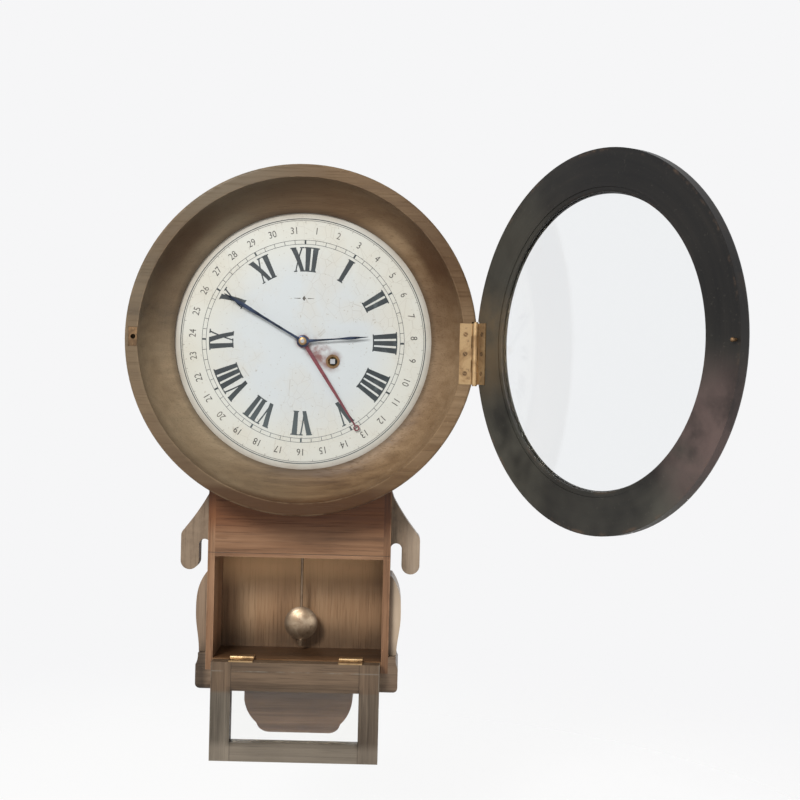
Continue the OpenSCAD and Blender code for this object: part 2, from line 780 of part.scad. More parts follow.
module front_plate() {
    color(brass) difference() {
        plate_sheet(plate_front_d);
        corners() translate([0, 0, plate_front_d - 1])
            cylinder(r = pillar_stud_r + run, h = plate_t + 2, $fn = round_fn);
        for (p = [second_p, third_p, escape_p, verge_p])
            rod(p, pivot_r + run, plate_front_d - 1, plate_front_d + plate_t + 1);
        rod(centre_p, centre_r + run, plate_front_d - 1, plate_front_d + plate_t + 1);
        rod(great_p, great_arbor_r + run, plate_front_d - 1, plate_front_d + plate_t + 1);
        for (p = [minute_p, drive_p, detent_p])
            rod(p, arbor_r + run, plate_front_d - 1, plate_front_d + plate_t + 1);
    }
}

module plate_pillars() {
    color(steel) corners() {
        translate([0, 0, plate_back_d + plate_t])
            cylinder(r = pillar_r, h = plate_front_d - plate_back_d - plate_t, $fn = round_fn);
        translate([0, 0, plate_back_d - 7])
            cylinder(r = pillar_stud_r, h = plate_front_d - plate_back_d + plate_t + 9,
                $fn = round_fn);
    }
}

module pillar_nuts() {
    color(brass) corners() translate([0, 0, plate_front_d + plate_t]) difference() {
        cylinder(r = 3.2, h = 1.8, $fn = 6);
        translate([0, 0, -1]) cylinder(r = pillar_stud_r + run, h = 4, $fn = round_fn);
    }
}

// Fixed studs that the minute wheel and the calendar drive wheel turn on
module work_studs() {
    color(steel) {
        rod(minute_p, arbor_r, plate_front_d, minute_leaf_d + 3.2);
        rod(drive_p, arbor_r, plate_front_d, drive_d + wheel_t + 0.8);
    }
}

cock_z = 53;
cock_screw_x = [-7, 7];
module suspension_cock() {
    color(brass) difference() {
        union() {
            slab(-10, 10, cock_z - 4, cock_z + 4, plate_back_d - 1.6, plate_back_d);
            slab(-4, 4, cock_z - 3, cock_z, rod_d - block_t / 2 - cheek_t - 1, plate_back_d);
            for (d = [rod_d - block_t / 2 - cheek_gap - cheek_t, cheek_front - cheek_t])
                slab(-3, 3, verge_p[1] - 3, cock_z, d, d + cheek_t);
        }
        rod(verge_p, suspension_pin_r + run, rod_d - block_t - 2, rod_d + block_t + 2);
        for (x = cock_screw_x)
            rod([x, cock_z], screw_r + run, plate_back_d - 3, plate_back_d + 1);
    }
    color(steel) for (x = cock_screw_x) {
        rod([x, cock_z], screw_r, plate_back_d - 1.6, plate_back_d + plate_t);
        rod([x, cock_z], screw_head_r, plate_back_d - 2.6, plate_back_d - 1.6);
    }
}

module suspension_pin() {
    color(steel) rod(verge_p, suspension_pin_r, rod_d - block_t / 2 - cheek_gap - cheek_t - 0.6,
        cheek_front + 0.4);
}

// Flat spiral, with its outer end looped round a pillar
module mainspring() {
    inner = great_arbor_r + 1;
    steps = 24;
    total = spring_turns * steps;
    hook = [pillar_x[1], pillar_z[0]];
    end_turn = way(great_p, hook) - 78;
    function wind(i, grow) =
        let (r = inner + (spring_r - inner) * i / total + grow)
        r * [cos(end_turn - 360 * (total - i) / steps), sin(end_turn - 360 * (total - i) / steps)];
    color(steel) {
        at(great_p, spring_d) linear_extrude(spring_w) polygon(concat(
            [for (i = [0:total]) wind(i, 0)],
            [for (i = [total:-1:0]) wind(i, spring_t)]));
        at([0, 0], spring_d) linear_extrude(spring_w) difference() {
            union() {
                translate(hook) circle(r = pillar_r + 0.7, $fn = round_fn);
                tail = great_p + wind(total, spring_t / 2);
                run_way = way(tail, hook);
                translate(tail) rotate(run_way) translate([-0.1, -spring_t / 2])
                    square([norm(hook - tail), spring_t]);
            }
            translate(hook) circle(r = pillar_r + snug / 2, $fn = round_fn);
        }
    }
}

// Springy finger that settles the calendar wheel, kept just clear of its teeth
detent_p = round_at(detent_stud_at, detent_turn);
module calendar_detent() {
    color(steel) {
        rod(detent_p, arbor_r, plate_front_d, calendar_d + calendar_t + 0.2);
        tip = round_at(calendar_r + 0.9, detent_turn);
        at([0, 0], calendar_d) linear_extrude(calendar_t) polygon([
            tip + [-0.5, 0], tip + [0.5, -0.15], detent_p + [1, -0.6], detent_p + [-1.2, 0]]);
    }
}

// Leaves of the trunk door's two hinges, drawn shut: the fixed ones lie below the door's
module door_leaf_shape(odd) {
    reach_x = door_knuckle_r + leaf_gap * 4;
    for (x = [-door_hinge_at, door_hinge_at])
        translate([x, -door_hinge_d, door_hinge_z]) rotate([0, 90, 0]) rotate(-90)
            mirror([0, odd ? 1 : 0, 0]) {
                knuckle_row(door_hinge_len, door_knuckles, door_knuckle_r,
                    door_pin_r + (odd ? run : 0), odd);
                difference() {
                    translate([0, leaf_gap / 2, 0])
                        leaf_tabs(door_hinge_len, door_knuckles, reach_x + 0.2, leaf_t, odd);
                    translate([0, 0, -door_hinge_len])
                        cylinder(r = door_pin_r + 0.2, h = 2 * door_hinge_len, $fn = round_fn);
                }
                translate([-door_leaf_w - door_knuckle_r, leaf_gap / 2, -door_hinge_len / 2])
                    cube([door_leaf_w + door_knuckle_r - reach_x, leaf_t, door_hinge_len]);
            }
}

module door_hinge_leaves() color(brass) door_leaf_shape(false);

module door_hinge_pins() {
    color(steel) for (x = [-door_hinge_at, door_hinge_at])
        translate([x - door_hinge_len / 2, -door_hinge_d, door_hinge_z]) rotate([0, 90, 0])
            cylinder(r = door_pin_r, h = door_hinge_len, $fn = round_fn);
}

// Bezel, drawn shut and turned open about its hinge

module bezel_turned()
    translate([bezel_hinge_x, -bezel_hinge_d, 0]) rotate(bezel_open)
        translate([-bezel_hinge_x, bezel_hinge_d, 0]) children();

module bezel_ring() {
    rabbet = bezel_back + glass_ring_t + bezel_glass_t + snug;
    front = bezel_back + bezel_t;
    color(wood_dark) bezel_turned() difference() {
        at([0, 0], 0) rotate_extrude($fn = big_fn) polygon(concat(
            [[glass_r + snug, bezel_back], [bezel_r, bezel_back]],
            arc([bezel_r - 3, front - 5], 3, 0, 60, 4),
            bow([bezel_r - 4, front - 1.6], [bezel_sight_r + 9, front - 1], -1, 8),
            bow([bezel_sight_r + 8, front - 0.6], [bezel_sight_r, rabbet + 1], 1.6, 7),
            [[bezel_sight_r, rabbet],
             [glass_r + snug, rabbet]]));
        hinge_cut(bezel_back - 1, bezel_back + leaf_inset);
        for (z = bezel_screw_z)
            rod([bezel_screw_x, z], screw_r + run, bezel_back, bezel_back + screw_len);
        rod([catch_x, 0], catch_pin_r + run, bezel_back - 1, bezel_back + 5);
    }
}

glass_ring_t = 2.5;
module bezel_glass() {
    color(glass) bezel_turned() at([0, 0], bezel_back + glass_ring_t)
        cylinder(r = glass_r, h = bezel_glass_t, $fn = big_fn);
}

// Turned bead that holds the bezel glass in its rabbet, from behind
module glass_ring() {
    color(wood_dark) bezel_turned() at([0, 0], bezel_back) rotate_extrude($fn = big_fn)
        polygon(concat([[glass_r, 0.4], [glass_r, glass_ring_t]],
            [[bezel_sight_r + 0.8, glass_ring_t]],
            arc([bezel_sight_r + 2, 1.6], 1.2, 180, 270, 5)));
}

module bezel_leaf() {
    color(brass) bezel_turned() {
        translate([bezel_hinge_x, -bezel_hinge_d, bezel_hinge_z])
            mirror([0, 1, 0]) bezel_leaf_shape(true);
        for (z = bezel_screw_z)
            translate([bezel_screw_x, -bezel_hinge_d - leaf_gap / 2, z]) rotate([90, 0, 0]) {
                cylinder(r1 = screw_head_r + run, r2 = screw_r,
                    h = screw_head_r - screw_r + run, $fn = 32);
                cylinder(r = screw_r, h = screw_len, $fn = 32);
            }
    }
}

module catch_pin() {
    color(brass) bezel_turned() {
        rod([catch_x, 0], catch_pin_r, bezel_back - 3, bezel_back + 4.8);
        at([catch_x, 0], bezel_back - 3) sphere(r = catch_pin_r + 0.4, $fn = 32);
    }
}

// Trunk door, drawn shut and turned down about its hinges

module door_turned()
    translate([0, -door_hinge_d, door_hinge_z]) rotate([180, 0, 0])
        translate([0, door_hinge_d, -door_hinge_z]) children();

door_front = trunk_depth;
door_back = trunk_depth - door_t;
light_x = door_x - door_stile_w;
light_low = door_low + door_hinge_rail_w;
light_high = door_high - door_free_rail_w;
bead = 3;
bead_t = 2.5;

module door_frame() {
    seat = door_back + bead_t + door_glass_t + snug;
    color(wood_dark) door_turned() difference() {
        slab(-door_x, door_x, door_low, door_high, door_back, door_front);
        slab(-light_x, light_x, light_low, light_high, door_back - 1, door_front + 1);
        slab(-light_x - bead, light_x + bead, light_low - bead, light_high + bead,
            door_back - 1, seat);
        rod([0, door_high - door_free_rail_w / 2], 1.5 + run, door_front - 5, door_front + 1);
    }
}

module door_glass() {
    edge = bead - snug;
    color(glass) door_turned()
        slab(-light_x - edge, light_x + edge, light_low - edge, light_high + edge,
            door_back + bead_t, door_back + bead_t + door_glass_t);
}

module door_beads() {
    edge = bead - snug / 2;
    color(wood) door_turned() difference() {
        slab(-light_x - edge, light_x + edge, light_low - edge, light_high + edge,
            door_back, door_back + bead_t);
        slab(-light_x, light_x, light_low, light_high, door_back - 1, door_back + bead_t + 1);
    }
}

module door_leaves() color(brass) door_turned() door_leaf_shape(true);

module door_knob() {
    place = [0, door_high - door_free_rail_w / 2];
    color(brass) door_turned() {
        rod(place, 1.5, door_front - 4.8, door_front + 1);
        at(place, door_front) rotate_extrude($fn = 64) polygon(concat(
            [[0, 0], [3.2, 0], [3.2, 0.8], [1.8, 1.4]],
            arc([1, 5], 2.6, -50, 70, 6), [[0, 7.6]]));
    }
}

// Going train

module centre_arbor() {
    color(steel) {
        rod(centre_p, pivot_r, plate_back_d + 0.2, plate_back_d + plate_t + 2);
        rod(centre_p, centre_r, plate_back_d + plate_t + end_shake, minute_hand_d + 4);
    }
    color(brass) at(centre_p, second_d - 0.6)
        rotate(way(second_p, centre_p) + 180)
            lantern(second_leaves, second_module, wheel_t + 0.9, 0);
}

module centre_wheel() {
    hub = 4;
    color(brass) at(centre_p, centre_d) rotate(way(centre_p, third_p)) {
        crossed(lantern_points(centre_teeth, centre_leaves, centre_module),
            lantern_low(centre_teeth, centre_module) - 2, hub, 4, centre_r + press, wheel_t);
    }
}

module cannon_pinion() {
    color(brass) difference() {
        union() {
            at(centre_p, cannon_d) rotate(work_turn)
                linear_extrude(2.4) polygon(gear_points(cannon_teeth, cannon_module));
            rod(centre_p, cannon_pipe_r, cannon_d, minute_hand_d);
        }
        rod(centre_p, centre_r + press, cannon_d - 1, minute_hand_d + 1);
    }
}

// A tapered hand with a boss, pointing up in its own plane
module hand_shape(length, boss, hole, root_w, belly_w, belly_at) {
    linear_extrude(hand_t) difference() {
        union() {
            circle(r = boss, $fn = 64);
            polygon([[-root_w / 2, 0], [root_w / 2, 0], [root_w / 2, boss],
                [root_w * 0.35, length * (belly_at - 0.16)], [belly_w / 2, length * belly_at],
                [0.35, length * 0.97], [0, length], [-0.35, length * 0.97],
                [-belly_w / 2, length * belly_at], [-root_w * 0.35, length * (belly_at - 0.16)],
                [-root_w / 2, boss]]);
        }
        circle(r = hole, $fn = 64);
    }
}

module minute_hand() {
    color(blue_steel) at(centre_p, minute_hand_d) rotate(-minute_at)
        hand_shape(minute_len, minute_boss_r, centre_r + press, minute_root_w,
            minute_belly_w, 0.72);
}

module hand_nut() {
    color(brass) difference() {
        at(centre_p, minute_hand_d + hand_t) rotate_extrude($fn = 64)
            polygon([[0, 0], [3.4, 0], [3.4, 0.8], [2.8, 1.8], [0, 2.6]]);
        rod(centre_p, centre_r + press, minute_hand_d - 1, minute_hand_d + 6);
    }
}

module minute_wheel() {
    color(brass) difference() {
        union() {
            at(minute_p, minute_wheel_d) rotate(work_turn + 180 + 180 / minute_teeth)
                crossed(gear_points(minute_teeth, cannon_module),
                    minute_teeth * cannon_module / 2 - 3, 4.5, 4, 1, wheel_t);
            at(minute_p, minute_leaf_d - 0.1) rotate(work_turn + 180)
                linear_extrude(3.1) polygon(gear_points(minute_leaves, hour_module));
        }
        rod(minute_p, arbor_r + run, minute_wheel_d - 1, minute_leaf_d + 4);
    }
}

module hour_wheel() {
    color(brass) difference() {
        union() {
            at(centre_p, hour_wheel_d) rotate(work_turn + 180 / hour_teeth)
                crossed(gear_points(hour_teeth, hour_module),
                    hour_teeth * hour_module / 2 - 2.4, 5, 4, 1, wheel_t);
            at(centre_p, hour_leaf_d - 0.1) rotate(calendar_turn)
                linear_extrude(hour_leaf_w + 0.1) polygon(gear_points(hour_leaves, drive_module));
            rod(centre_p, hour_pipe_r, hour_wheel_d, hour_hand_d + hand_t);
        }
        rod(centre_p, cannon_pipe_r + run, hour_wheel_d - 1, hour_hand_d + 2);
    }
}

module hour_hand() {
    color(blue_steel) at(centre_p, hour_hand_d) rotate(-hour_at)
        hand_shape(hour_len, hour_boss_r, hour_pipe_r + press, hour_root_w, hour_belly_w, 0.70);
}

// Turns once a day and carries the finger that moves the calendar wheel
module calendar_drive() {
    finger_at = work_reach - calendar_r - 0.3 - finger_r;
    color(brass) difference() {
        at(drive_p, drive_d) rotate(calendar_turn + 180 + 180 / drive_teeth)
            linear_extrude(1.4) polygon(gear_points(drive_teeth, drive_module));
        rod(drive_p, arbor_r + run, drive_d - 1, drive_d + 3);
    }
    color(steel) rod(drive_p + round_at(finger_at, calendar_turn + 180), finger_r,
        drive_d + 1.4, calendar_d + 1.4);
}

module calendar_wheel() {
    color(brass) difference() {
        union() {
            at(centre_p, calendar_d) linear_extrude(calendar_t)
                polygon(saw_points(calendar_teeth, calendar_r, calendar_r - 1.6, 2));
            rod(centre_p, calendar_pipe_r, calendar_d, calendar_hand_d + hand_t);
        }
        rod(centre_p, hour_pipe_r + run, calendar_d - 1, calendar_hand_d + 2);
    }
}

module calendar_hand() {
    eye = calendar_eye_r;
    color([0.45, 0.16, 0.12]) at(centre_p, calendar_hand_d) rotate(-calendar_at) {
        hand_shape(calendar_len - 2 * eye, calendar_boss_r, calendar_pipe_r + press,
            calendar_root_w, calendar_belly_w, 0.6);
        translate([0, calendar_len - eye]) linear_extrude(hand_t) difference() {
            circle(r = eye, $fn = 48);
            translate([0, 1.6]) circle(r = eye - 0.5, $fn = 48);
        }
    }
}

module second_wheel() {
    color(brass) at(second_p, second_d) rotate(way(second_p, centre_p))
        crossed(lantern_points(second_teeth, second_leaves, second_module),
            lantern_low(second_teeth, second_module) - 2.2, 4, 4, 1, wheel_t);
    color(steel) {
        arbor(second_p, arbor_r);
        at(second_p, great_d - 0.3) rotate(way(great_p, second_p) + 180)
            lantern(great_leaves, great_module, great_t + 0.4, 0);
    }
}

module great_wheel() {
    color(brass) at(great_p, great_d) rotate(way(great_p, second_p))
        crossed(lantern_points(great_teeth, great_leaves, great_module),
            lantern_low(great_teeth, great_module) - 3, 17, 5, great_arbor_r + run, great_t);
    // The click, riveted to the back of the great wheel
    color(steel) at(great_p, great_d) rotate(40) {
        translate([13, 0, -1.6]) cylinder(r = 1.1, h = 1.8, $fn = round_fn);
        translate([0, 0, -1.7]) linear_extrude(1.2) polygon(concat(
            arc([13, 0], 2, -90, 90, 8), [[10.5, 2.2], [ratchet_r + 0.5, 5.2],
                [ratchet_r + 0.4, 3.8], [11, -1.2]]));
    }
}

module winding_arbor() {
    square_w = 4;
    color(steel) {
        rod(great_p, pivot_r, plate_back_d + 0.2, plate_back_d + plate_t + 2);
        rod(great_p, great_arbor_r, plate_back_d + plate_t + end_shake,
            plate_front_d + plate_t);
        at(great_p, plate_front_d + plate_t - 0.1) translate([-square_w / 2, -square_w / 2, 0])
            cube([square_w, square_w, dial_front + 2 - plate_front_d - plate_t]);
        at(great_p, ratchet_d) linear_extrude(ratchet_t)
            polygon(saw_points(ratchet_teeth, ratchet_r, ratchet_r - 1.6, 3));
    }
}

module third_wheel() {
    color(brass) at(third_p, third_d) rotate(way(third_p, escape_p))
        crossed(lantern_points(third_teeth, third_leaves, third_module),
            lantern_low(third_teeth, third_module) - 1.8, 3.4, 4, 0.5, wheel_t);
    color(steel) {
        rod(third_p, arbor_r, plate_back_d + plate_t + end_shake, centre_d - 1);
        rod(third_p, core_r, centre_d - 1.2, plate_front_d + plate_t - 0.2);
        rod(third_p, pivot_r, plate_back_d + 0.2, plate_back_d + plate_t + 2);
        rod(third_p, arbor_r, centre_d + wheel_t + 1, plate_front_d - end_shake);
        at(third_p, centre_d - 0.5) rotate(way(centre_p, third_p) + 180)
            lantern(centre_leaves, centre_module, wheel_t + 1, core_r);
    }
}

module escape_wheel() {
    color(brass) at(escape_p, escape_d)
        crossed(saw_points(escape_teeth, escape_r, escape_r - 2.2, 5), escape_r - 4, 2.6, 4,
            0.5, escape_t);
    color(steel) {
        rod(escape_p, arbor_r, third_d + wheel_t + 1.5, plate_front_d - end_shake);
        rod(escape_p, arbor_r, plate_back_d + plate_t + end_shake, third_d - 1);
        rod(escape_p, core_r, plate_back_d + 0.2, plate_front_d + plate_t - 0.2);
        at(escape_p, third_d - 0.5) rotate(way(third_p, escape_p) + 180)
            lantern(third_leaves, third_module, wheel_t + 1, core_r);
    }
}

// Verge with its two pallets, its arbor and the crutch behind the back plate
module verge() {
    swing_room = 1.15;
    pallet_r = escape_r + swing_room;
    pallet = [pallet_r * sin(45), escape_p[1] + pallet_r * cos(45)] - verge_p;
    color(steel) {
        rod(verge_p, arbor_r, crutch_d, plate_front_d - end_shake);
        rod(verge_p, pivot_r, plate_front_d - 1, plate_front_d + plate_t - 0.2);
        at(verge_p, escape_d - 0.2) linear_extrude(escape_t + 0.4) {
            circle(r = 3, $fn = 48);
            for (s = [-1, 1]) scale([s, 1])
                polygon([[0, 1.4], [pallet[0] + 2.4, pallet[1] + 4.6],
                    [pallet[0] + 2.2, pallet[1] + 0.8], pallet,
                    [pallet[0] + 0.4, pallet[1] + 3.4], [0, -1.6]]);
        }
    }
    color(brass) {
        drop = verge_p[1] - crutch_z;
        at(verge_p, crutch_d) linear_extrude(crutch_t) {
            circle(r = 2.6, $fn = 48);
            translate([-1.2, -drop]) square([2.4, drop]);
        }
        difference() {
            slab(-3.2, 3.2, crutch_z, crutch_z + crutch_t, rod_d - 4, crutch_d + crutch_t);
            slab(-rod_r - run, rod_r + run, crutch_z - 1, crutch_z + 3, rod_d - 5, rod_d + 3);
        }
    }
}

// Pendulum: suspension block, rod, bob and rating nut
module pendulum() {
    nut_top = bob_z - bob_d / 2 - 0.4;
    color(steel) {
        difference() {
            rod(verge_p, block_r, rod_d - block_t / 2, rod_d + block_t / 2);
            rod(verge_p, suspension_pin_r + run, rod_d - block_t, rod_d + block_t);
        }
        translate([0, -rod_d, nut_top - nut_len])
            cylinder(r = rod_r, h = verge_p[1] - block_r + 0.4 - nut_top + nut_len, $fn = 48);
    }
    color(brass) {
        at([0, bob_z], rod_d) rotate_extrude($fn = round_fn) polygon(concat(
            bow([0, -bob_t / 2], [bob_d / 2 - 0.6, -1], -1.2, 8), [[bob_d / 2, -0.6]],
            [[bob_d / 2, 0.6]], bow([bob_d / 2 - 0.6, 1], [0, bob_t / 2], -1.2, 8)));
        translate([0, -rod_d, nut_top - nut_len])
            cylinder(r1 = 1.6, r2 = 3, h = nut_len, $fn = 48);
    }
}

back_board();
head_drum();
dial_surround();
trunk_side_left();
trunk_side_right();
trunk_front();
trunk_bottom();
base_moulding();
side_strips();
ear_left();
ear_right();
chin();
hanger_plate();
case_screws();
dial();
dial_screws();
winding_bush();
bezel_hinge_leaf();
bezel_hinge_pin();
catch_plate();
movement_posts();
back_plate();
front_plate();
plate_pillars();
pillar_nuts();
work_studs();
suspension_cock();
suspension_pin();
mainspring();
calendar_detent();
door_hinge_leaves();
door_hinge_pins();
bezel_ring();
bezel_glass();
glass_ring();
bezel_leaf();
catch_pin();
door_frame();
door_glass();
door_beads();
door_leaves();
door_knob();
centre_arbor();
centre_wheel();
cannon_pinion();
minute_hand();
hand_nut();
minute_wheel();
hour_wheel();
hour_hand();
calendar_drive();
calendar_wheel();
calendar_hand();
second_wheel();
great_wheel();
winding_arbor();
third_wheel();
escape_wheel();
verge();
pendulum();
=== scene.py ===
"""Calendar wall clock: camera and light, finishes, the dial's printing and the fine pieces.

Sizes are written in millimetres. A depth, d, is counted forward from the wall, so y = -d.
"""
import math

import bmesh
import bpy
from mathutils import Matrix, Vector


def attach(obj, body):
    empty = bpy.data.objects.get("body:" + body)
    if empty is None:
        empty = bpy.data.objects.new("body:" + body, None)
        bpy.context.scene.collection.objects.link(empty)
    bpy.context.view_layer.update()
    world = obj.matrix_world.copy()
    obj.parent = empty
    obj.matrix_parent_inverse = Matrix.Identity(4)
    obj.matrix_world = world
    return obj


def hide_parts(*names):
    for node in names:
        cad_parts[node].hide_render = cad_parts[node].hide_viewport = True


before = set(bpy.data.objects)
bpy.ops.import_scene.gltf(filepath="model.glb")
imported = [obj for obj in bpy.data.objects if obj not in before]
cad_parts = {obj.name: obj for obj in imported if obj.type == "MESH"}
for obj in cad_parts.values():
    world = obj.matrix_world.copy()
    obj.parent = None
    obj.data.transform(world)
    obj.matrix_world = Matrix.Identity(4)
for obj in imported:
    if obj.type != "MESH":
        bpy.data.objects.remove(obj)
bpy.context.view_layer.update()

MM = 0.001

# Sizes that follow the part
DIAL_D = 77                 # face of the dial
DIAL_SEEN = 107.5           # radius of the dial that shows
HEAD_R = 144.5
FRONT_D = 105               # front of the head's rim
RIM_IN = 134                # inner radius of the rim's flat
TRUNK_X = 77.5              # half the trunk's width
TRUNK_D = 65
OPENING_TOP = -183.5        # upper edge of the trunk's opening
BASE_TOP = -266
BASE_LOW = -297
CHIN_FOOT = -343
HINGE = (143, 105.5)        # x and d of the bezel hinge's pin
LEAF_X = 134.8              # screws of the bezel hinge
OPEN = 124                  # degrees that the bezel stands open
RING_SIGHT = 109            # inner radius of the bezel ring
RING_R = 142
DOOR_X = 70.7               # half the door's width
DOOR_LIGHT_X = 53.7         # half the width of the door's opening
DOOR_LIGHT = (-337, -294)   # foot and head of that opening, as the door hangs
DOOR_FOOT = -353.2
DOOR_RUB_Z = -277.5         # a rubbed line across the rail beside the hinges
BUSH = (25.2, -16.3)        # x and z of the winding bush
BOB_Z = -246


# Small tools

def tint(red, green, blue):
    """A colour written as 0 to 255 on screen, as the renderer counts it."""
    return tuple((c / 255 / 12.92 if c <= 10 else ((c / 255 + 0.055) / 1.055) ** 2.4)
                 for c in (red, green, blue)) + (1.0,)


def placed(name, data):
    """A new object in the scene."""
    made = bpy.data.objects.new(name, data)
    bpy.context.scene.collection.objects.link(made)
    return made


def evaluated_mesh(thing):
    """A plain mesh of what an object's text or modifiers make."""
    bpy.context.view_layer.update()
    return bpy.data.meshes.new_from_object(
        thing.evaluated_get(bpy.context.evaluated_depsgraph_get()))


def operator(operation, swapped=False):
    """A method of Flow that adds one Math node."""
    def method(self, other):
        return self.math(operation, *((other, self) if swapped else (self, other)))
    return method


class Flow:
    """A socket in a node tree. Python operators on it add Math nodes."""

    def __init__(self, tree, socket=None):
        self.tree, self.socket = tree, socket

    def node(self, kind, settings=None, values=None, out=0):
        """Any node: its settings first, then the values or links of its sockets."""
        made = self.tree.nodes.new(kind)
        for key, value in (settings or {}).items():
            if key == "stops":
                set_stops(made.color_ramp, value)
            else:
                setattr(made, key, value)
        for place, value in (values or {}).items():
            if isinstance(value, Flow):
                self.tree.links.new(value.socket, made.inputs[place])
            else:
                made.inputs[place].default_value = value
        return Flow(self.tree, made.outputs[out])

    def math(self, operation, *parts):
        return self.node("ShaderNodeMath", {"operation": operation}, dict(enumerate(parts)))

    __add__ = operator("ADD")
    __radd__ = operator("ADD", swapped=True)
    __sub__ = operator("SUBTRACT")
    __rsub__ = operator("SUBTRACT", swapped=True)
    __mul__ = operator("MULTIPLY")
    __rmul__ = operator("MULTIPLY", swapped=True)
    __truediv__ = operator("DIVIDE")
    __rtruediv__ = operator("DIVIDE", swapped=True)
    __pow__ = operator("POWER")
    most = operator("MAXIMUM")
    least = operator("MINIMUM")
    above = operator("GREATER_THAN")

    def __abs__(self):
        return self.math("ABSOLUTE", self)

    def rise(self, low, high):
        """0 below low, 1 above high, smooth between. It falls where low is the higher."""
        return self.node("ShaderNodeMapRange", {"interpolation_type": "SMOOTHSTEP"},
                         {0: self, 1: min(low, high), 2: max(low, high),
                          3: float(low > high), 4: float(high > low)})

    def near(self, place, width):
        """1 at a place, 0 beyond a width from it."""
        return abs(self - place).rise(width, 0)

    def split(self):
        made = self.node("ShaderNodeSeparateXYZ", {}, {0: self}).socket.node
        return [Flow(self.tree, made.outputs[i]) for i in range(3)]

    def join(self, x, y, z):
        return self.node("ShaderNodeCombineXYZ", {}, {0: x, 1: y, 2: z})

    def mapped(self, move=(0, 0, 0), turn=(0, 0, 0), size=(1, 1, 1)):
        return self.node("ShaderNodeMapping", {},
                         {"Vector": self, "Location": move, "Rotation": turn, "Scale": size})

    def noise(self, scale, detail=3.0, rough=0.55, bend=0.0):
        return self.node("ShaderNodeTexNoise", {}, {
            "Vector": self, "Scale": scale, "Detail": detail, "Roughness": rough,
            "Distortion": bend})

    def cell_edges(self, scale):
        """Distance to the nearest edge between cells."""
        return self.node("ShaderNodeTexVoronoi", {"feature": "DISTANCE_TO_EDGE"},
                         {"Vector": self, "Scale": scale})

    def ramp(self, stops):
        return self.node("ShaderNodeValToRGB", {"stops": stops}, {0: self})

    def mix(self, a, b, blend="MIX"):
        """Colour a where this factor is 0, and b where it is 1."""
        return self.node("ShaderNodeMix", {"data_type": "RGBA", "blend_type": blend},
                         {0: self, 6: a, 7: b}, out=2)

    def blend(self, a, b):
        """Vector a where this factor is 0, and b where it is 1."""
        return self.node("ShaderNodeMix", {"data_type": "VECTOR"}, {0: self, 4: a, 5: b}, out=1)


def distance(across, along):
    """Distance from the point where both coordinates are 0."""
    return (across * across + along * along) ** 0.5


def set_stops(ramp, stops):
    while len(ramp.elements) > 1:
        ramp.elements.remove(ramp.elements[-1])
    for i, (place, colour) in enumerate(stops):
        stop = ramp.elements[0] if i == 0 else ramp.elements.new(place)
        stop.position, stop.color = place, colour


def finish(name, draw, **fixed):
    """A material. draw takes the Object coordinates and gives what varies, by socket name."""
    material = bpy.data.materials.new(name)
    material.use_nodes = True
    tree = material.node_tree
    shader = tree.nodes["Principled BSDF"]
    for socket, value in fixed.items():
        shader.inputs[socket.replace("_", " ")].default_value = value
    at = Flow(tree).node("ShaderNodeTexCoord", out=3)
    for socket, value in draw(at).items():
        if socket == "Bump":
            height, depth = value
            value = at.node("ShaderNodeBump", {}, {
                "Height": height, "Distance": depth * MM, "Strength": 1.0})
            socket = "Normal"
        tree.links.new(value.socket, shader.inputs[socket])
    return material


# Grain directions: each gives a vector whose first part runs along the grain

def upright(at, x, y, z):
    return at.join(z, x, y)


def level(at, x, y, z):
    return at.join(x, z, y)


def fore_and_aft(at, x, y, z):
    return at.join(y, x, z)


def round_the_dial(at, x, y, z, radius=0.13):
    """Grain bent round the dial's axis, true to length at a radius in metres."""
    return at.join(at.math("ARCTAN2", x, z) * radius, distance(x, z), y)


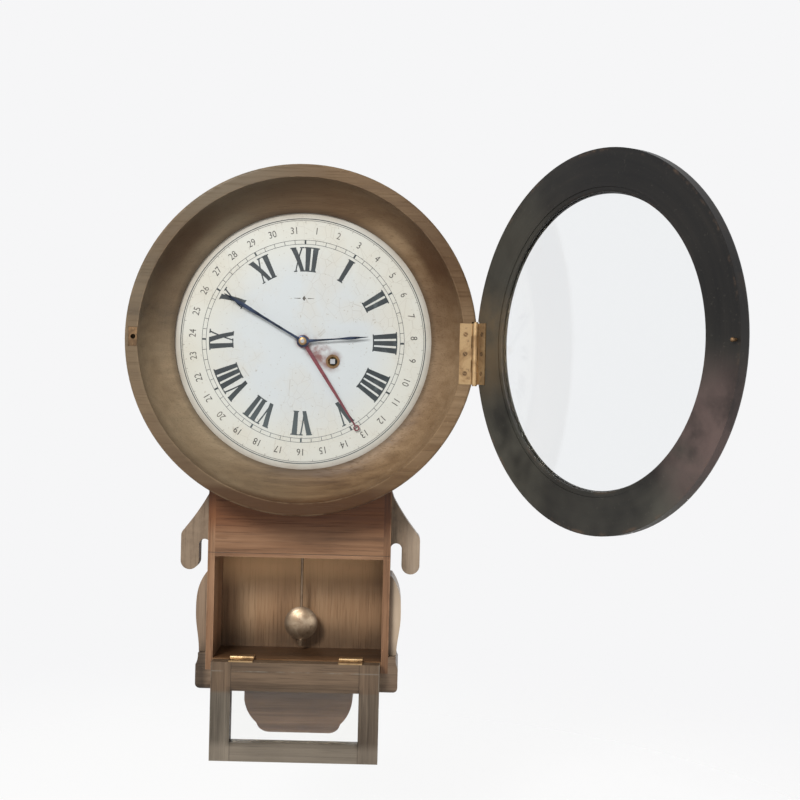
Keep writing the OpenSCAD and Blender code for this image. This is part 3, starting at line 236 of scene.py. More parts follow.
def wood(name, tones, lie, figure=15.0, shine=(0.34, 0.62), coat=0.14, extra=None, depth=0.12,
         seed=0.0):
    """Varnished wood: broad figure, fibres, dark pores, dust in the hollows, worn edges.

    tones are the dark line, the body and the light band. extra may give, from millimetre
    coordinates, how worn the wood is, its dirt and painted shade, its stain and painted shade,
    how it is paled or tinted, which paints light and shade in places, and where lines run.
    """
    dark, body, light = tones
    deep_stain_and_shade = (dark[0] * 0.62, dark[1] * 0.46, dark[2] * 0.28, 1.0)

    def draw(at):
        x, y, z = at.split()
        grain = lie(at, x, y, z).mapped(move=(seed, seed * 0.7, seed * 1.3))
        broad = grain.mapped(size=(0.09, 1, 1)).noise(figure, 4, 0.6, 1.1)
        fibres = grain.mapped(size=(0.035, 1, 1)).noise(figure * 16, 4, 0.62, 0.2)
        pores = grain.mapped(size=(0.022, 1, 1)).noise(1300, 2, 0.5).rise(0.56, 0.68)
        mottle = at.noise(7.5, 3, 0.6)
        tone = broad * 0.55 + fibres * 0.34 + (mottle - 0.5) * 0.45 + 0.03
        colour = tone.ramp([(0.30, dark), (0.46, body), (0.66, light)])
        colour = (pores * 0.35).mix(colour, dark)
        rough = fibres * 0.18 + pores * 0.15 + (mottle.rise(0.35, 0.7) * (shine[1] - shine[0])
                                               + shine[0] - 0.1)
        height = fibres * 0.5 - pores * 0.9 + broad * 0.15
        if extra:
            masks = extra(at, x / MM, y / -MM, z / MM)
            scuff = at.noise(55, 4, 0.65).rise(0.40, 0.62)
            # The tint also paints shade in places.
            if "tinted" in masks:
                colour = masks["tinted"][0].mix(colour, masks["tinted"][1], "MULTIPLY")
            # Paling also paints light in places.
            if "paled" in masks:
                pale = masks["paled"][0] * (0.7 + at.noise(30, 3, 0.6) * 0.6)
                colour = pale.least(0.9).mix(colour, masks["paled"][1])
            # Darkening by stain, and in places by painted shade.
            if "stained" in masks:
                stain = masks["stained"] * (0.75 + at.noise(16, 3, 0.6) * 0.5)
                colour = stain.least(0.92).mix(colour, deep_stain_and_shade)
            # Darkening by dirt, and in places by painted shade.
            if "grimy" in masks:
                grime_and_shade_mix = masks["grimy"] * (0.45 + at.noise(38, 3, 0.6) * 0.6)
                colour = grime_and_shade_mix.least(0.9).mix(colour, tint(30, 23, 17))
                rough = rough + masks["grimy"] * 0.12
            if "worn" in masks:
                wear = (masks["worn"] * scuff).least(0.85)
                colour = (wear * 0.75).mix(colour, light)
                rough = rough + wear * 0.15
            if "lines" in masks:
                colour = (masks["lines"] * 0.8).mix(colour, tint(24, 18, 13))
                height = height - masks["lines"] * 1.5
        return {"Base Color": colour, "Roughness": rough.least(0.95), "Bump": (height, depth)}

    return finish(name, draw, Coat_Weight=coat, Coat_Roughness=0.36, IOR=1.32)


# Camera at the photograph's viewing angle, found from the outlines of the head and the bezel

FOCAL_PIXELS = 1396.5                   # for a picture 800 pixels wide
CAMERA_TURN = (0.006, -0.573, -1.384)   # degrees of pan, tilt and lean
CAMERA_PLACE = (82.5, -1248.6, -35.5)   # x, y and z


def make_camera():
    data = bpy.data.cameras.new("camera")
    camera = placed("camera", data)
    data.sensor_width = 36.0
    data.lens = FOCAL_PIXELS / 800 * data.sensor_width
    data.clip_start, data.clip_end = 0.05, 20
    pan, tilt, lean = (math.radians(a) for a in CAMERA_TURN)
    ways = (Matrix.Rotation(pan, 3, "Z") @ Matrix.Rotation(tilt, 3, "X")
            @ Matrix.Rotation(lean, 3, "Y"))
    right, ahead, up = (ways.col[i] for i in range(3))
    turn = Matrix((right, up, -ahead)).transposed()
    camera.matrix_world = Matrix.Translation(Vector(CAMERA_PLACE) * MM) @ turn.to_4x4()
    bpy.context.scene.camera = camera


def make_lamp(name, place, aim, size, power, warmth=(1, 1, 1)):
    """A round lamp, in metres and watts."""
    data = bpy.data.lights.new(name, "AREA")
    data.shape, data.size, data.energy, data.color = "DISK", size, power, warmth
    lamp = placed(name, data)
    lamp.location = place
    lamp.rotation_euler = (Vector(aim) - Vector(place)).to_track_quat("-Z", "Y").to_euler()


BACKDROP = tint(246, 246, 247)
FLOOR_Z, FLOOR_HALF = -0.45, 1.2        # metres


def make_world():
    """Even light from the world. The camera, mirrors and glass see it as the pale backdrop."""
    world = bpy.data.worlds.new("studio")
    bpy.context.scene.world = world
    world.use_nodes = True
    tree = world.node_tree
    tree.nodes.clear()
    start = Flow(tree)
    path = start.node("ShaderNodeLightPath").socket.node
    seen = [Flow(tree, path.outputs[name])
            for name in ("Is Camera Ray", "Is Glossy Ray", "Is Transmission Ray")]
    light = start.node("ShaderNodeBackground", {}, {0: (1, 0.985, 0.97, 1), 1: 0.36})
    pale = start.node("ShaderNodeBackground", {}, {0: BACKDROP, 1: 1.0})
    shown = start.node("ShaderNodeMixShader", {}, {
        0: seen[0].most(seen[1]).most(seen[2]), 1: light, 2: pale})
    output = tree.nodes.new("ShaderNodeOutputWorld")
    tree.links.new(shown.socket, output.inputs[0])


def make_floor():
    """A pale floor below the clock, which fades out before the horizon.

    The camera and glass see it as nearly white, and it is clear from below.
    """
    material = bpy.data.materials.new("pale_floor")
    material.use_nodes = True
    tree = material.node_tree
    shader = tree.nodes["Principled BSDF"]
    shader.inputs["Roughness"].default_value = 0.9
    at = Flow(tree).node("ShaderNodeTexCoord", out=3)
    x, y, _ = at.split()
    colour = at.noise(3.0, 2).mix(tint(243, 243, 244), tint(247, 247, 247))
    tree.links.new(colour.socket, shader.inputs["Base Color"])
    white = at.node("ShaderNodeEmission", {}, {0: (1, 1, 1, 1), 1: 1.0})
    path = at.node("ShaderNodeLightPath").socket.node
    seen = Flow(tree, path.outputs["Is Camera Ray"]).most(
        Flow(tree, path.outputs["Is Transmission Ray"]))
    pale = at.node("ShaderNodeMixShader", {}, {
        0: seen * 0.9,
        1: Flow(tree, shader.outputs[0]), 2: white})
    clear = at.node("ShaderNodeBsdfTransparent")
    below = Flow(tree, at.node("ShaderNodeNewGeometry").socket.node.outputs["Backfacing"])
    fade = distance(x, y).rise(0.35, 0.95).most(below)
    shown = at.node("ShaderNodeMixShader", {}, {0: fade, 1: pale, 2: clear})
    tree.links.new(shown.socket, tree.nodes["Material Output"].inputs[0])
    mesh = bpy.data.meshes.new("floor")
    mesh.from_pydata([(x * FLOOR_HALF, y * FLOOR_HALF, FLOOR_Z)
                      for x, y in ((-1, -1), (1, -1), (1, 1), (-1, 1))], [], [(0, 1, 2, 3)])
    floor = placed("floor", mesh)
    mesh.materials.append(material)


make_camera()
make_world()
make_floor()
make_lamp("key", (-0.62, -1.55, 0.80), (0, -0.08, -0.08), size=0.55, power=27,
          warmth=(1, 0.985, 0.965))
make_lamp("side_fill", (1.3, -1.3, 0.1), (0.05, -0.08, -0.05), size=0.9, power=4)
bpy.context.scene.view_settings.view_transform = "Standard"


# Wood finishes. The masks of wear and colour take the coordinates, and x, d and z in
# millimetres. tinted and paled also hold the colour that they multiply by or lead to.
# Some of the masks paint light and shade into the colour, as each says.

def case_wear(_, x, d, z):
    """Worn front edges of the trunk's boards, a dark reddish band under the head that is
    painted shadow with some dirt, a line scratched over the opening, and dirt at the foot."""
    edge = z.near(OPENING_TOP, 1.0).most(abs(x).near(TRUNK_X, 1.4)) * d.rise(60, 64)
    # Painted shadow of the head's overhang, with some dirt, darkened and reddened below.
    under = z.rise(-168, -146) * d.rise(50, 60)
    foot = z.rise(-250, -268) * d.rise(66, 60)
    return {"worn": edge * 0.8, "stained": under * 0.5, "grimy": foot * 0.7,
            "tinted": (under, tint(255, 214, 176)),
            "lines": z.near(OPENING_TOP + 3.2, 0.45) * d.rise(64, 64.9)}


def drum_wear(_at, _x, d, _z):
    """Rubbed front edge of the drum, and dust where it meets the wall."""
    return {"worn": d.near(69, 2) * 0.5, "grimy": d.rise(14, 4) * 0.6}


def dish_wear(at, x, d, z):
    """Handled rim, dust along the dial, painted shade over the top, a darker outer band with
    painted shade at the foot, a paler left and the lines that the turning tool left."""
    out = distance(x, z)
    rim = out.near(HEAD_R - 0.6, 1.4).most(out.near(RIM_IN, 1.0) * d.rise(103, 105))
    foot = out.rise(DIAL_SEEN + 5, DIAL_SEEN)
    # A darker outer band, with painted shade towards the foot and painted light on the right.
    edge = out.rise(126, 137) * (z.rise(-10, -110) * 0.26 + 0.40 + z.rise(-116, -134) * 0.6
                                 - x.rise(40, 80) * 0.22)
    # Painted shade: darkest at the top, also at the sides and the foot, less on the upper inner
    # dish.
    shaded = (z.rise(-30, 95) * 0.70 + abs(x).rise(60, 125) * 0.22 + x.rise(70, 120) * 0.14
              + z.rise(-60, -125) * 0.30 - x.rise(20, 80) * z.rise(30, 80) * out.rise(123, 116)
              * 0.42 - x.rise(-20, -80) * z.rise(30, 80) * out.rise(123, 116) * 0.22)
    shaded = shaded * (out.rise(137, 131) * 0.3 + 0.7)
    left = x.rise(40, -70) * (z.rise(0, 70) * 0.16 + 0.34) + z.rise(40, 110) * 0.12
    turned = (out * 7.0).math("SINE", out * 7.0) * 0.5 + 0.5
    fine = turned.rise(0.93, 1.0) * at.noise(24, 2).rise(0.48, 0.7)
    return {"worn": rim * 0.3, "grimy": foot * 0.6, "stained": edge.most(shaded),
            # The reddish tint at the foot of the rim is painted shadow.
            "tinted": (z.rise(-118, -134) * out.rise(129, 135), tint(244, 208, 166)),
            "paled": (left, tint(130, 128, 110)), "lines": fine * 0.16}


def moulding_wear(_at, x, _d, z):
    """Rubbed top edge of the base, and dark ends, most at the left."""
    top = z.near(BASE_TOP, 1.2)
    ends = abs(x).rise(72, 81) * x.rise(60, -60).most(0.35)
    return {"worn": top * 0.5, "grimy": (z.rise(-286, BASE_LOW) * 0.6).most(ends)}


def strip_wear(_, x, d, z):
    """Waved strips beside the trunk, the right one painted paler as painted light."""
    return {"worn": d.near(44, 2) * 0.6, "grimy": z.rise(-250, BASE_TOP) * 0.5,
            # The right strip's paling is painted light.
            "paled": (x.rise(76, 84) * 0.62, tint(206, 186, 162))}


def chin_wear(_at, _x, d, z):
    """Rubbed foot of the chin and darker wood just under the base, over warmer wood."""
    return {"worn": z.near(CHIN_FOOT + 0.5, 2) * 0.6, "grimy": z.rise(-312, -298) * 0.5,
            "tinted": (d.rise(0, 1), tint(255, 236, 212))}


def ear_wear(_, x, d, z):
    """Rubbed arrises of the ears, darker at the top under the head, and the right ear painted
    paler as painted light.
    """
    return {"worn": d.near(52, 1.5) * 0.7, "grimy": z.rise(-140, -126) * 0.5,
            # The right ear's paling is painted light.
            "paled": (x.rise(86, 98) * 0.45, tint(190, 172, 152))}


def door_wear(_at, x, _d, z):
    """Butt joints between rails and stiles, dusty corners, rubbed arrises, a pale foot."""
    joint = abs(x).near(DOOR_LIGHT_X, 0.28)
    rub = abs(x).near(DOOR_X, 1.2).most(z.near(DOOR_FOOT, 1.4)).most(z.near(DOOR_RUB_Z, 0.9))
    low, high = DOOR_LIGHT
    corner = abs(x).near(DOOR_LIGHT_X, 4) * z.near(low, 5).most(z.near(high, 5)) * 0.6
    foot = z.rise(-334, -344) * 0.30
    warm = z.rise(-297, -293).most(x.rise(50, 56) * 0.5) * 0.8 + 0.2
    return {"lines": joint, "worn": rub * 0.9, "grimy": corner,
            "tinted": (warm, tint(255, 226, 204)), "paled": (foot, tint(158, 146, 130))}


def board_wear(_, x, d, z):
    """The back board: painted shade near the foot and beside the side boards, and painted
    light, pale and warm, higher up, where the front board shades it.
    """
    # Dark foot and sides: painted shade. Pale top: painted light.
    return {"grimy": z.rise(-238, -266) * 0.85, "stained": abs(x).rise(56, 70) * 0.3 + 0.06,
            "paled": (z.rise(-222, -196) * d.rise(6, 9), tint(255, 204, 150))}


def floor_wear(_at, _x, d, _z):
    """The trunk's bottom board: painted shade, darker towards the back, and a rubbed front
    edge.
    """
    return {"grimy": d.rise(64, 40) * 0.65, "worn": d.near(TRUNK_D, 1.5) * 0.8}


def door_grain(at, x, y, z):
    """Along the stiles at the sides and along the rails between them."""
    stile = (abs(x) / MM).above(DOOR_LIGHT_X)
    return stile.blend(level(at, x, y, z), upright(at, x, y, z))


# Tones of wood: dark, body and light
WALNUT = (tint(66, 44, 30), tint(126, 92, 66), tint(164, 128, 98))
TAN = (tint(80, 58, 36), tint(132, 106, 76), tint(168, 142, 110))
PALE = (tint(72, 56, 42), tint(122, 101, 82), tint(158, 136, 114))
BLACKED = (tint(9, 8, 8), tint(22, 20, 18), tint(42, 37, 33))
GREYED = (tint(54, 48, 40), tint(94, 88, 78), tint(126, 119, 107))
DULLED = (tint(64, 52, 40), tint(118, 100, 82), tint(148, 130, 110))
INSIDE = (tint(92, 66, 44), tint(158, 124, 92), tint(186, 154, 120))
# Tones of the trunk's bottom board, dark as painted shade.
SHADED_FLOOR = (tint(54, 36, 22), tint(104, 74, 48), tint(130, 98, 68))
SAWN = (tint(104, 76, 50), tint(158, 124, 86), tint(190, 160, 120))

case_wood = wood("case_wood_upright", WALNUT, upright, extra=case_wear)
case_level = wood("case_wood_level", WALNUT, level, extra=case_wear, seed=2.1)
drum_wood = wood("case_wood_bent", WALNUT, round_the_dial, extra=drum_wear, seed=0.6)
board_wood = wood("back_board_wood", INSIDE, upright, figure=11, extra=board_wear, coat=0.08,
                  seed=3.3)
floor_wood = wood("floor_board_wood", SHADED_FLOOR, level, extra=floor_wear, coat=0.05, seed=2.9)
turned_wood = wood("turned_wood", TAN, level, figure=10, shine=(0.46, 0.68), coat=0.05,
                   extra=dish_wear, depth=0.10, seed=1.2)
moulded_wood = wood("moulded_wood", PALE, level, figure=18, extra=moulding_wear, seed=4.4)
strip_wood = wood("moulded_strip_wood", PALE, upright, figure=18, extra=strip_wear, seed=5.1)
chin_wood = wood("chin_wood", PALE, level, figure=14, extra=chin_wear, seed=6.3)
ear_wood = wood("ear_wood", DULLED, upright, figure=20, extra=ear_wear, seed=7.7)
door_wood = wood("door_wood", GREYED, door_grain, figure=20, extra=door_wear, coat=0.12,
                 seed=8.2)
post_wood = wood("bare_wood", SAWN, fore_and_aft, figure=30, shine=(0.6, 0.8), coat=0.0,
                 seed=9.0)


def closed_ring(at):
    """Coordinates of the bezel as if it were shut, so that its pattern turns with it."""
    turn = math.radians(OPEN)
    hinge = Vector((HINGE[0] * MM, -HINGE[1] * MM, 0))
    back = Matrix.Rotation(-turn, 3, "Z") @ hinge
    return at.mapped(move=tuple(hinge - back), turn=(0, 0, -turn))


def bezel_look(at):
    """Ring of dark stain under shellac, rubbed brown where hands open it and at the hinge,
    greyer towards the foot, with a painted grey sheen on the hinge side.
    """
    shut = closed_ring(at)
    x, y, z = shut.split()
    out = distance(x, z) / MM
    grain = round_the_dial(shut, x, y, z, radius=0.14)
    broad = grain.mapped(size=(0.12, 1, 1)).noise(18, 4, 0.6, 0.8)
    fibres = grain.mapped(size=(0.04, 1, 1)).noise(300, 4, 0.6)
    mottle = shut.noise(9, 3, 0.6)
    tone = broad * 0.5 + fibres * 0.4 + (mottle - 0.5) * 0.5
    dark, body, light = BLACKED
    colour = tone.ramp([(0.32, dark), (0.48, body), (0.70, light)])
    rubbed = distance(x + 0.118, z + 0.068).rise(0.070, 0.015)
    rubbed = rubbed * shut.noise(22, 4, 0.6).rise(0.26, 0.66)
    # Greyer towards the foot, and a painted grey sheen on the hinge side.
    greyed_with_sheen = (z.rise(0.03, -0.09) * abs(x).rise(0.02, 0.08)).most(x.rise(0.02, 0.09) * 0.6)
    greyed_with_sheen = greyed_with_sheen.most(z.rise(-0.085, -0.125) * 0.45) * shut.noise(13, 3, 0.6).rise(0.30, 0.60)
    colour = (greyed_with_sheen * 0.42).mix(colour, tint(104, 102, 92))
    colour = (rubbed * 0.8).mix(colour, tint(104, 87, 83))
    by_hinge = distance(x - 0.125, z).rise(0.060, 0.012)
    by_hinge = by_hinge * shut.noise(30, 4, 0.6).rise(0.30, 0.66)
    colour = (by_hinge * 0.45).mix(colour, tint(112, 92, 64))
    edges = out.near(RING_R - 1.5, 2).most(out.near(RING_SIGHT + 1.5, 1.5) * 0.5)
    wear = edges * shut.noise(50, 4, 0.7).rise(0.50, 0.68)
    colour = (wear * 0.55).mix(colour, tint(96, 78, 64))
    dust = shut.noise(420, 3, 0.6).rise(0.62, 0.75) * 0.12
    colour = dust.mix(colour, tint(120, 114, 104))
    rough = 0.36 + fibres * 0.16 + wear * 0.2 + rubbed * 0.1 + dust * 0.5
    return {"Base Color": colour, "Roughness": rough,
            "Bump": (fibres * 0.6 + broad * 0.3 - wear * 0.3, 0.05)}


dark_wood = finish("dark_wood", bezel_look, Coat_Weight=0.08, Coat_Roughness=0.3, IOR=1.3)


# Metals

def metal(name, bright, dull, stain, brushed=(1, 1, 1), rough=(0.22, 0.45), depth=0.02,
          weight=1.0):
    """Worked metal: draw marks, a mottled tarnish and fine scratches."""
    def draw(at):
        marks = at.mapped(size=brushed).noise(900, 3, 0.6)
        cloud = at.noise(60, 4, 0.62, 0.6)
        spots = at.noise(260, 3, 0.6).rise(0.60, 0.74)
        scratch = at.mapped(turn=(0.3, 0.5, 0.9), size=(1, 0.05, 1)).noise(700, 2)
        tarnish = cloud.rise(0.38, 0.66)
        colour = tarnish.mix(bright, dull)
        colour = (spots * 0.55).mix(colour, stain)
        colour = (marks.rise(0.42, 0.7) * 0.22).mix(colour, dull)
        spread = rough[1] - rough[0]
        matt = tarnish * spread + marks * 0.12 + spots * 0.2 + (rough[0] - 0.05)
        return {"Base Color": colour, "Roughness": matt.least(0.9),
                "Metallic": weight - spots * 0.35,
                "Bump": (marks * 0.5 + scratch * 0.4 - spots * 0.5, depth)}
    return finish(name, draw)


brass = metal("aged_brass", tint(182, 153, 114), tint(134, 108, 78), tint(70, 54, 38),
              rough=(0.32, 0.54))
dull_brass = metal("tarnished_brass", tint(120, 94, 66), tint(84, 66, 48), tint(48, 38, 30),
                   rough=(0.42, 0.62), weight=0.8)
plate_brass = metal("rolled_brass", tint(222, 186, 118), tint(188, 148, 84), tint(110, 84, 48),
                    brushed=(1, 1, 0.06), rough=(0.24, 0.40))
steel = metal("bright_steel", tint(186, 188, 190), tint(142, 142, 142), tint(84, 66, 54),
              rough=(0.24, 0.42))
spring_steel = metal("spring_steel", tint(92, 98, 112), tint(66, 68, 76), tint(58, 46, 38))
blued = metal("blued_steel", tint(70, 80, 100), tint(44, 50, 62), tint(56, 46, 42),
              rough=(0.26, 0.42), depth=0.01)
red_steel = metal("red_lacquered_steel", tint(126, 66, 72), tint(100, 54, 62), tint(60, 40, 44),
                  rough=(0.3, 0.45), depth=0.01, weight=0.2)


def bob_look(at):
    """Spun face of the bob: rings about its middle, dull fingermarks, and a darker rim that is
    painted shade round its edge.
    """
    x, _, z = at.split()
    out = distance(x, z - BOB_Z * MM) / MM
    spun = (out * 9).math("SINE", out * 9) * 0.5 + 0.5
    cloud = at.noise(90, 4, 0.6, 0.5)
    # The darker rim is painted shade round the bob's edge.
    rim = out.rise(11.5, 14.5)
    colour = cloud.rise(0.35, 0.65).mix(tint(178, 158, 134), tint(144, 123, 100))
    colour = (rim * 0.6).mix(colour, tint(104, 82, 62))
    colour = (at.noise(300, 3).rise(0.6, 0.75) * 0.5).mix(colour, tint(92, 72, 54))
    return {"Base Color": colour, "Roughness": spun * 0.08 + cloud * 0.25 + 0.24,
            "Metallic": 0.9 - rim * 0.3, "Bump": (spun * 0.5 + cloud * 0.3, 0.03)}


bob_metal = finish("bob_metal", bob_look)


# Glass. Shadow rays pass through it, so that the lamps reach what is behind it

def glass(name, colour, smear):
    """Old flat glass, a little wavy, with a faint smear."""
    def draw(at):
        haze = at.noise(26, 4, 0.6, 0.8).rise(0.45, 0.75)
        return {"Roughness": haze * smear + 0.015, "Bump": (at.noise(14, 2, 0.5), 0.08)}
    material = finish(name, draw, Base_Color=colour, Transmission_Weight=1.0, IOR=1.4,
                      Specular_IOR_Level=0.25)
    tree = material.node_tree
    flow = Flow(tree)
    path = flow.node("ShaderNodeLightPath").socket.node
    clear = flow.node("ShaderNodeBsdfTransparent", {}, {0: (0.95, 0.96, 0.96, 1)})
    shown = flow.node("ShaderNodeMixShader", {}, {
        0: Flow(tree, path.outputs["Is Shadow Ray"]),
        1: Flow(tree, tree.nodes["Principled BSDF"].outputs[0]), 2: clear})
    tree.links.new(shown.socket, tree.nodes["Material Output"].inputs[0])
    return material


bezel_pane = glass("bezel_glass_finish", (0.93, 0.945, 0.95, 1), 0.02)
door_pane = glass("door_glass_finish", (0.95, 0.955, 0.94, 1), 0.03)


# Dial paint and ink

def dial_look(at):
    """Old white paint: a cool middle, a creamy date ring, rim dirt, stains and fine cracks."""
    x, _, z = at.split()
    out = distance(x, z) / MM
    cloud = at.noise(17, 4, 0.6, 0.6)
    colour = out.rise(48, 92).mix(tint(197, 203, 205), tint(205, 206, 198))
    colour = (cloud.rise(0.42, 0.7) * 0.35).mix(colour, tint(198, 190, 172))
    left = x.rise(-0.03, -0.11) * at.noise(11, 3).rise(0.35, 0.6)
    colour = (left * 0.35).mix(colour, tint(186, 180, 160))
    rim = out.rise(DIAL_SEEN - 9, DIAL_SEEN + 0.5) * (at.noise(45, 3) * 0.8 + 0.3)
    colour = (rim * 0.75).mix(colour, tint(132, 112, 92))
    hub = out.rise(9, 4.5)
    bush = distance(x / MM - BUSH[0], z / MM - BUSH[1]).rise(11, 5)
    rubbed = hub.most(bush) * at.noise(110, 3).rise(0.35, 0.6)
    colour = (rubbed * 0.5).mix(colour, tint(120, 96, 84))
    along = (x * 0.84 - z * 0.54) / MM
    across = abs(x * 0.54 + z * 0.84) / MM
    rust = along.rise(3, 8) * along.rise(38, 27) * across.rise(11, 4)
    rust = rust * at.noise(85, 4, 0.6).rise(0.30, 0.62)
    colour = rust.mix(colour, tint(124, 84, 80))
    cracks = at.mapped(size=(1, 1, 0.8)).cell_edges(120).rise(0.018, 0.0)
    cracks = cracks * cloud.rise(0.45, 0.6)
    colour = (cracks * 0.35).mix(colour, tint(130, 112, 90))
    specks = at.noise(500, 2, 0.5).rise(0.68, 0.75)
    colour = (specks * 0.4).mix(colour, tint(120, 96, 70))
    rough = cloud * 0.2 + rim * 0.2 + 0.32
    return {"Base Color": colour, "Roughness": rough,
            "Bump": (at.noise(40, 3) * 0.6 - cracks * 0.8 - specks * 0.4, 0.05)}


def ink_look(at):
    """Printed black, paler where it was rubbed and towards the foot of the dial."""
    z = at.split()[2]
    worn = at.noise(70, 4, 0.65).rise(0.5, 0.8).most(z.rise(-0.035, -0.075) * 0.7)
    colour = worn.mix(tint(24, 34, 38), tint(80, 90, 92))
    return {"Base Color": colour, "Roughness": worn * 0.2 + 0.45,
            "Bump": (at.noise(600, 2), 0.02)}


def date_ink_look(at):
    """Thinner, greyer ink of the date ring."""
    worn = at.noise(60, 4, 0.65).rise(0.45, 0.8)
    colour = worn.mix(tint(54, 52, 48), tint(122, 116, 104))
    return {"Base Color": colour, "Roughness": worn * 0.2 + 0.5,
            "Bump": (at.noise(600, 2), 0.02)}


dial_paint = finish("dial_paint", dial_look, Coat_Weight=0.15, Coat_Roughness=0.3)
ink = finish("dial_ink", ink_look)
date_ink = finish("date_ink", date_ink_look)


# Finishes of the CAD nodes

def dress(material, *names):
    for name in names:
        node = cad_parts[name]
        node.data.materials.clear()
        node.data.materials.append(material)


dress(case_wood, "trunk_side_left", "trunk_side_right")
dress(case_level, "trunk_front")
dress(floor_wood, "trunk_bottom")
dress(drum_wood, "head_drum")
dress(board_wood, "back_board")
dress(turned_wood, "dial_surround")
dress(moulded_wood, "base_moulding")
dress(strip_wood, "side_strips")
dress(chin_wood, "chin")
dress(ear_wood, "ear_left", "ear_right")
dress(door_wood, "door_frame", "door_beads")
dress(dark_wood, "bezel_ring", "glass_ring")
dress(post_wood, "movement_posts")
dress(dial_paint, "dial")
dress(brass, "hanger_plate", "case_screws", "bezel_hinge_leaf", "bezel_hinge_pin",
      "door_hinge_leaves", "bezel_leaf", "door_leaves", "door_knob", "hand_nut",
      "suspension_cock", "pillar_nuts")
dress(dull_brass, "winding_bush", "catch_plate", "catch_pin")
dress(plate_brass, "back_plate", "front_plate", "centre_wheel", "cannon_pinion",
      "minute_wheel", "hour_wheel", "calendar_drive", "calendar_wheel", "second_wheel",
      "great_wheel", "third_wheel", "escape_wheel")
dress(steel, "dial_screws", "plate_pillars", "work_studs", "suspension_pin",
      "calendar_detent", "door_hinge_pins", "centre_arbor", "winding_arbor", "verge")
dress(spring_steel, "mainspring")
dress(blued, "minute_hand", "hour_hand")
dress(red_steel, "calendar_hand")
dress(bob_metal, "pendulum")
dress(bezel_pane, "bezel_glass")
dress(door_pane, "door_glass")


# Pieces of the scene's own

def piece(name, points, faces, material, body):
    """A flat-shaded mesh from millimetre points (x, d, z), put on a body."""
    mesh = bpy.data.meshes.new(name)
    mesh.from_pydata([(x * MM, -d * MM, z * MM) for x, d, z in points], [], faces)
    work = bmesh.new()
    work.from_mesh(mesh)
    bmesh.ops.remove_doubles(work, verts=work.verts, dist=1e-7)
    bmesh.ops.recalc_face_normals(work, faces=work.faces)
    work.to_mesh(mesh)
    work.free()
    for face in mesh.polygons:
        face.use_smooth = False
    mesh.materials.append(material)
    made = placed(name, mesh)
    if body:
        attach(made, body)
    return made


class Shape:
    """Points and faces gathered for one mesh."""

    def __init__(self):
        self.points, self.faces = [], []

    def prism(self, outline, d0, d1):
        """A flat plate with a convex outline of (x, z) points."""
        first, n = len(self.points), len(outline)
        self.points += [(x, d0, z) for x, z in outline] + [(x, d1, z) for x, z in outline]
        self.faces.append([first + i for i in range(n)])
        self.faces.append([first + n + i for i in reversed(range(n))])
        for i in range(n):
            j = (i + 1) % n
            self.faces.append([first + i, first + n + i, first + n + j, first + j])

    def turned(self, profile, steps, centre=(0, 0)):
        """A ring about an axis that points forward, from a closed profile of (r, d)."""
        first, n = len(self.points), len(profile)
        for i in range(steps):
            a = 2 * math.pi * i / steps
            self.points += [(centre[0] + r * math.sin(a), d, centre[1] + r * math.cos(a))
                            for r, d in profile]
        for i in range(steps):
            for k in range(n):
                a, b = first + i * n, first + ((i + 1) % steps) * n
                self.faces.append([a + k, a + (k + 1) % n, b + (k + 1) % n, b + k])


def spot(out, clock):
    """(x, z) at a distance from the dial's axis, in degrees clockwise from XII."""
    a = math.radians(clock)
    return out * math.sin(a), out * math.cos(a)


# Roman numerals: strokes on a band of the dial, bent to its round

NUMERAL_LOW, NUMERAL_HIGH = 58.5, 79.0
NUMERALS = ["XII", "I", "II", "III", "IIII", "V", "VI", "VII", "VIII", "IX", "X", "XI"]
WIDE = {"I": 5.6, "V": 10.2, "X": 10.4}
THICK, THIN, SERIF = 4.0, 1.15, 1.0
THICK_SERIF, THIN_SERIF = 4.4, 3.2
SIDE = 1.9                  # from the edge of a V or X to the middle of a stroke's end
INK_T = 0.06
INK_D = DIAL_D + INK_T      # top of the ink
LIFT = 0.005                # keeps crossing strokes from sharing a surface

# The rings of print
TRACK = (81.4, 84.8)
DATE_EDGE = 101.2
DATE_FOOT = 90.2            # radius of the numbers' feet
DATE_SIZE = 8.2             # size of their type
DATE_NARROWED = 0.86        # share of the type's own width
FLOURISH_Z = 36


def bent(u, v, clock):
    """(x, z) of a point u along the band and v of its height, for a numeral at clock."""
    middle = (NUMERAL_LOW + NUMERAL_HIGH) / 2
    out = NUMERAL_LOW + v * (NUMERAL_HIGH - NUMERAL_LOW)
    return spot(out, clock + math.degrees(u / middle))


def stroke(shape, foot, head, width, clock, d1):
    """A straight stroke from foot to head with level ends."""
    steps = 6
    for i in range(steps):
        v0, v1 = i / steps, (i + 1) / steps
        u0, u1 = foot + (head - foot) * v0, foot + (head - foot) * v1
        shape.prism([bent(u0 - width / 2, v0, clock), bent(u0 + width / 2, v0, clock),
                     bent(u1 + width / 2, v1, clock), bent(u1 - width / 2, v1, clock)],
                    DIAL_D, d1)


def serif(shape, middle, width, top, clock):
    """A thin bar across the top or foot of a stroke."""
    share = SERIF / (NUMERAL_HIGH - NUMERAL_LOW)
    low, high = (1 - share, 1) if top else (0, share)
    steps = max(2, int(width))
    for i in range(steps):
        a = middle - width / 2 + width * i / steps
        b = a + width / steps
        shape.prism([bent(a, low, clock), bent(b, low, clock), bent(b, high, clock),
                     bent(a, high, clock)], DIAL_D, INK_D + 2 * LIFT)


